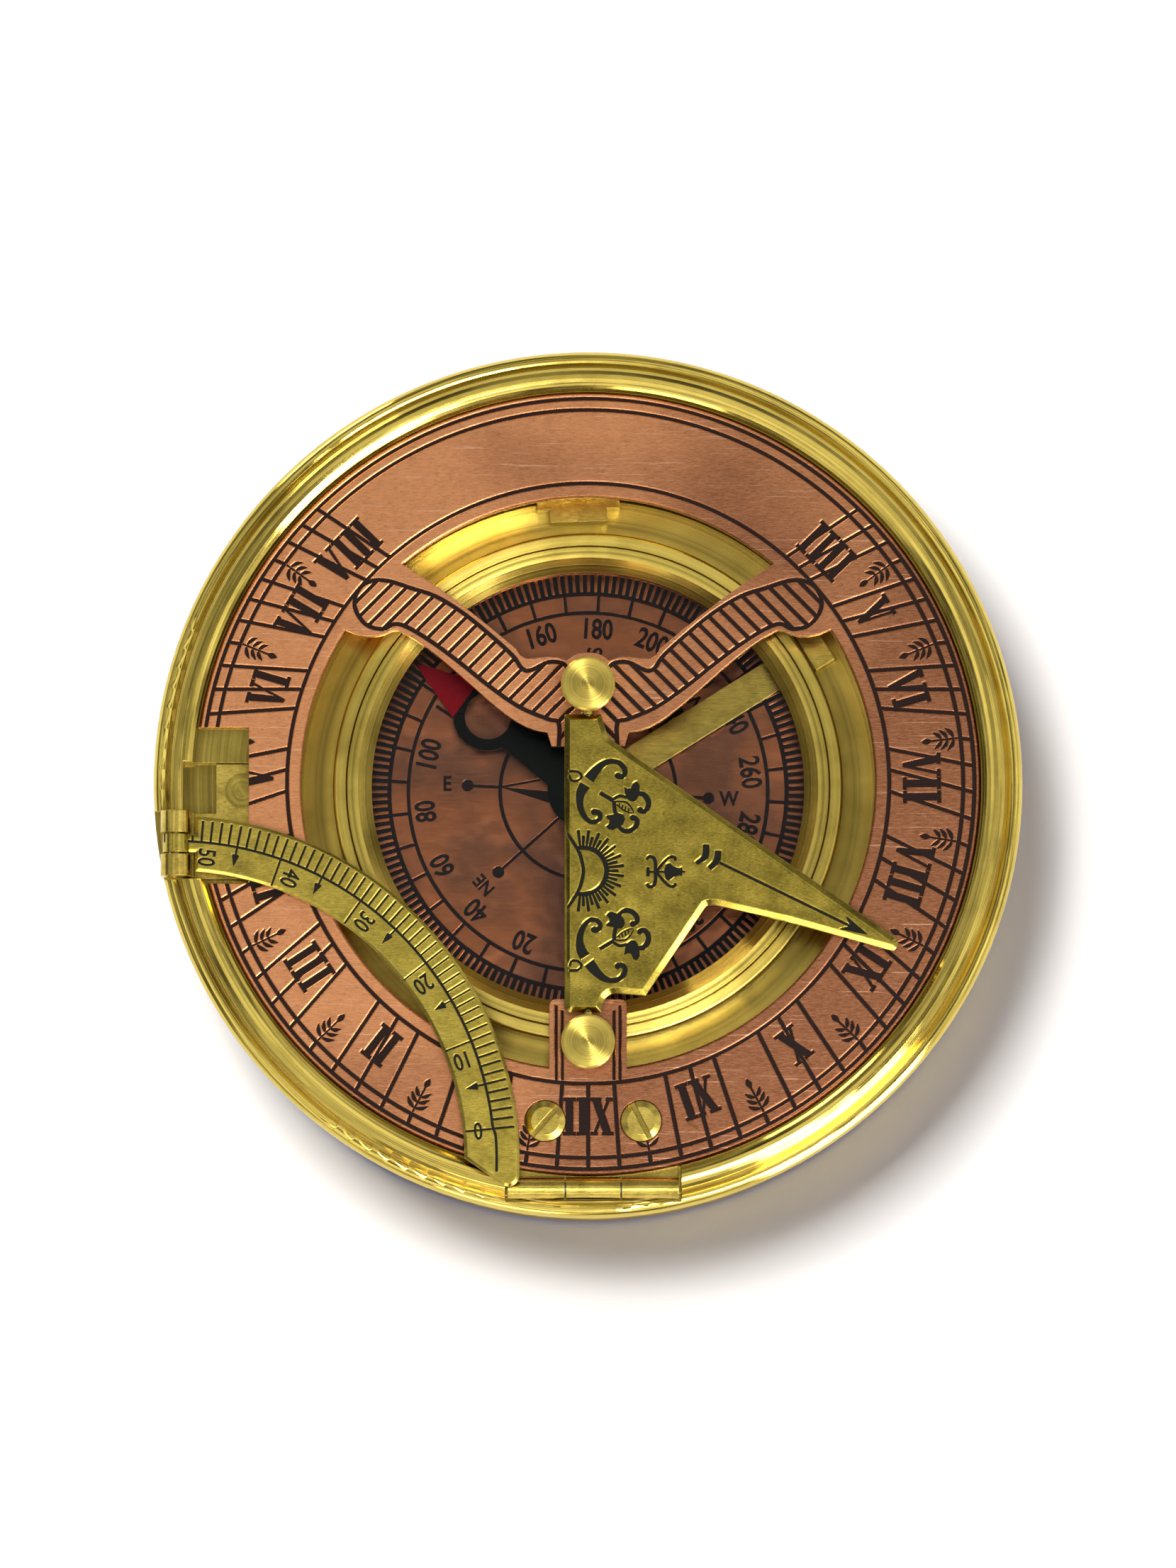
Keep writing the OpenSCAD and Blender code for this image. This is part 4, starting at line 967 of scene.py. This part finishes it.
def studio():
    """A pale room: a white backdrop for the camera, metal and glass; these two see a patchy ceiling too."""
    world = bpy.data.worlds.new("studio")
    bpy.context.scene.world = world
    world.use_nodes = True
    n = Nodes(world.node_tree)
    n.tree.nodes.clear()

    def ground(strength, color=(1, 1, 1, 1)):
        node = n.new("ShaderNodeBackground")
        n.put(node.inputs["Strength"], strength)
        node.inputs["Color"].default_value = color
        return node.outputs[0]

    def choose(share, a, b):
        node = n.new("ShaderNodeMixShader")
        for socket, value in zip(node.inputs, (share, a, b)):
            n.join(value, socket)
        return node.outputs[0]

    direction = n.new("ShaderNodeTexCoord").outputs["Generated"]
    parts = n.new("ShaderNodeSeparateXYZ")
    n.join(direction, parts.inputs[0])
    side = n.new("ShaderNodeVectorMath", operation="DOT_PRODUCT")
    n.join(direction, side.inputs[0])
    side.inputs[1].default_value = (*polar(1, BRIGHT_WAY), 0)
    patches = n.spread(n.noise(direction, ROOM_PATCHES, 1.0), 0.4, 0.6, 0.12, 1.4, "SMOOTHSTEP")
    ceiling = n.spread(parts.outputs["Z"], 0.5, 0.92, 0.5, 0.95, "SMOOTHSTEP")
    lean = n.spread(side.outputs["Value"], -0.8, 0.5, 0.5, 1.2, "SMOOTHSTEP")
    backdrop = n.new("ShaderNodeMix", data_type="FLOAT")
    n.join(n.spread(parts.outputs["Z"], 0.1, 0.2, curve="SMOOTHSTEP"), backdrop.inputs["Factor"])
    backdrop.inputs["A"].default_value = 1.0
    n.join(n.math("MULTIPLY", n.math("MULTIPLY", patches, ceiling), lean), backdrop.inputs["B"])
    path = n.new("ShaderNodeLightPath").outputs
    mirrored = n.math("MAXIMUM", path["Is Glossy Ray"], path["Is Transmission Ray"])
    room = choose(mirrored, ground(ROOM_PLAIN, ROOM_COLOR), ground(backdrop.outputs["Result"]))
    seen = choose(path["Is Camera Ray"], room, ground(1.0))
    n.join(seen, n.new("ShaderNodeOutputWorld").inputs["Surface"])
    lamp("key", 132, 71, KEY_REACH, 0.4, KEY_POWER, (1.0, 0.965, 0.86), glossy=False, diffuse=True)
    for name, way, height, size, power, color in GLINTS:
        lamp(name, way, height, LAMP_REACH, size, power, color, glossy=True, diffuse=False)


def floor():
    bm = bmesh.new()
    bmesh.ops.create_grid(bm, x_segments=1, y_segments=1, size=4)
    bmesh.ops.translate(bm, verts=bm.verts, vec=(0, 0, -FLOOR_GAP * MM))
    made = linked("floor", bm)
    made.data.materials.append(floor_paper())


# ---------------------------------------------------------------- the object

BRASS = (0.77, 0.575, 0.118)
GNOMON_BRASS, GNOMON_PATINA = (0.6, 0.45, 0.075), (0.2, 0.155, 0.022)
ARC_BRASS, ARC_PATINA = (0.66, 0.5, 0.088), (0.2, 0.16, 0.03)
STEEL = (0.5, 0.5, 0.45)
PLATE_INK, CARD_INK, BRASS_INK = (0.012, 0.004, 0.002), (0.006, 0.002, 0.002), (0.006, 0.006, 0.003)
NEEDLE_DIR, RED_FROM = 143.7, 17.6  # degrees, and mm from the pivot
POST_FAR, POST_NOON = (0, 11), (0, -30)
FOOT_SCREW = (-39.8, -0.8)


def top_of(node):
    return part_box(node)[1].z / MM


def dress_case():
    # the case body spreads its painted corner shade further, over the well in the dial plate's shadow
    dress(turned_metal("case_brass", BRASS, reach=4.5), "case_body", "base_plate")
    dress(turned_metal("bowl_brass", BRASS, rough=0.2, sheen=0.9), "compass_bowl", "bezel_ring")
    dress(rubbed_metal("block_brass", BRASS, turn=92), "rest_block")
    dress(turned_metal("ring_brass", BRASS), "glass_ring")
    dress(rubbed_metal("bracket_brass", BRASS, turn=90, stain=0.8), "arc_bracket", "arc_pin")
    dress(rubbed_metal("hinge_brass", BRASS, turn=0, stain=0.7), "hinge_leaf_case", "hinge_leaf_dial")
    dress(rubbed_metal("pin_steel", STEEL, turn=0, stain=0.3), "hinge_pin", "lever_pin", "needle_pivot")
    dress(turned_metal("foot_screw_brass", BRASS, FOOT_SCREW), "arc_bracket_screw")
    dress(rubbed_metal("screw_brass", BRASS, turn=40, stain=0.5), "hinge_screws")
    dress(clear_glass(), "glass")


def dress_posts():
    for name, mid in (("far", POST_FAR), ("noon", POST_NOON)):
        brass = turned_metal(f"post_{name}_brass", BRASS, mid, rough=0.26, lines=4.0, depth=0.008, sheen=0.9)
        dress(brass, "gnomon_post_" + name)
    dress(rubbed_metal("pivot_brass", BRASS, turn=90), "gnomon_pivots")


def dress_needle():
    dress(needle_lacquer(NEEDLE_DIR, RED_FROM), "needle")
    dress(turned_metal("cap_brass", BRASS), "needle_cap")
    dress(rubbed_metal("lever_brass", BRASS, rough=0.15, turn=32, grain=(0.3, 4.0, 0.5), wave=0.14,
                       stain=0.4), "lock_lever", "lever_tab")


def engraved_pieces():
    brass_ink = ink("brass_ink", BRASS_INK)
    engraved("dial_engraved", "dial", "dial_plate", dial_copper(),
             ink("dial_ink", PLATE_INK), dial_cuts(top_of("dial_plate")))
    engraved("card_engraved", "case", "compass_card", card_copper(),
             ink("card_ink", CARD_INK), card_cuts(top_of("compass_card")))
    gnomon_top = top_of("gnomon")
    gnomon_brass = rubbed_metal("gnomon_brass", GNOMON_BRASS, rough=0.15, grain=(0.8, 2.0, 1.0), turn=35,
                                wave=0.17, stain=0.7, patina=GNOMON_PATINA, edge=0.2)
    engraved("gnomon_engraved", "shadow_gnomon", "gnomon", gnomon_brass, brass_ink,
             gnomon_cuts(gnomon_top), eased_top(*GNOMON_EASE, gnomon_top))
    arc_top = top_of("latitude_arc") - ARC_BARREL_RISE
    arc_brass = rubbed_metal("arc_brass", ARC_BRASS, rough=0.18, turn=-50, stain=0.55, patina=ARC_PATINA,
                             edge=0.18)
    engraved("arc_engraved", "arc", "latitude_arc", arc_brass, brass_ink,
             arc_cuts(arc_top), eased_top(*ARC_EASE, arc_top))


camera()
studio()
floor()
bpy.context.scene.view_settings.view_transform = "Standard"
dress_case()
dress_posts()
dress_needle()
engraved_pieces()
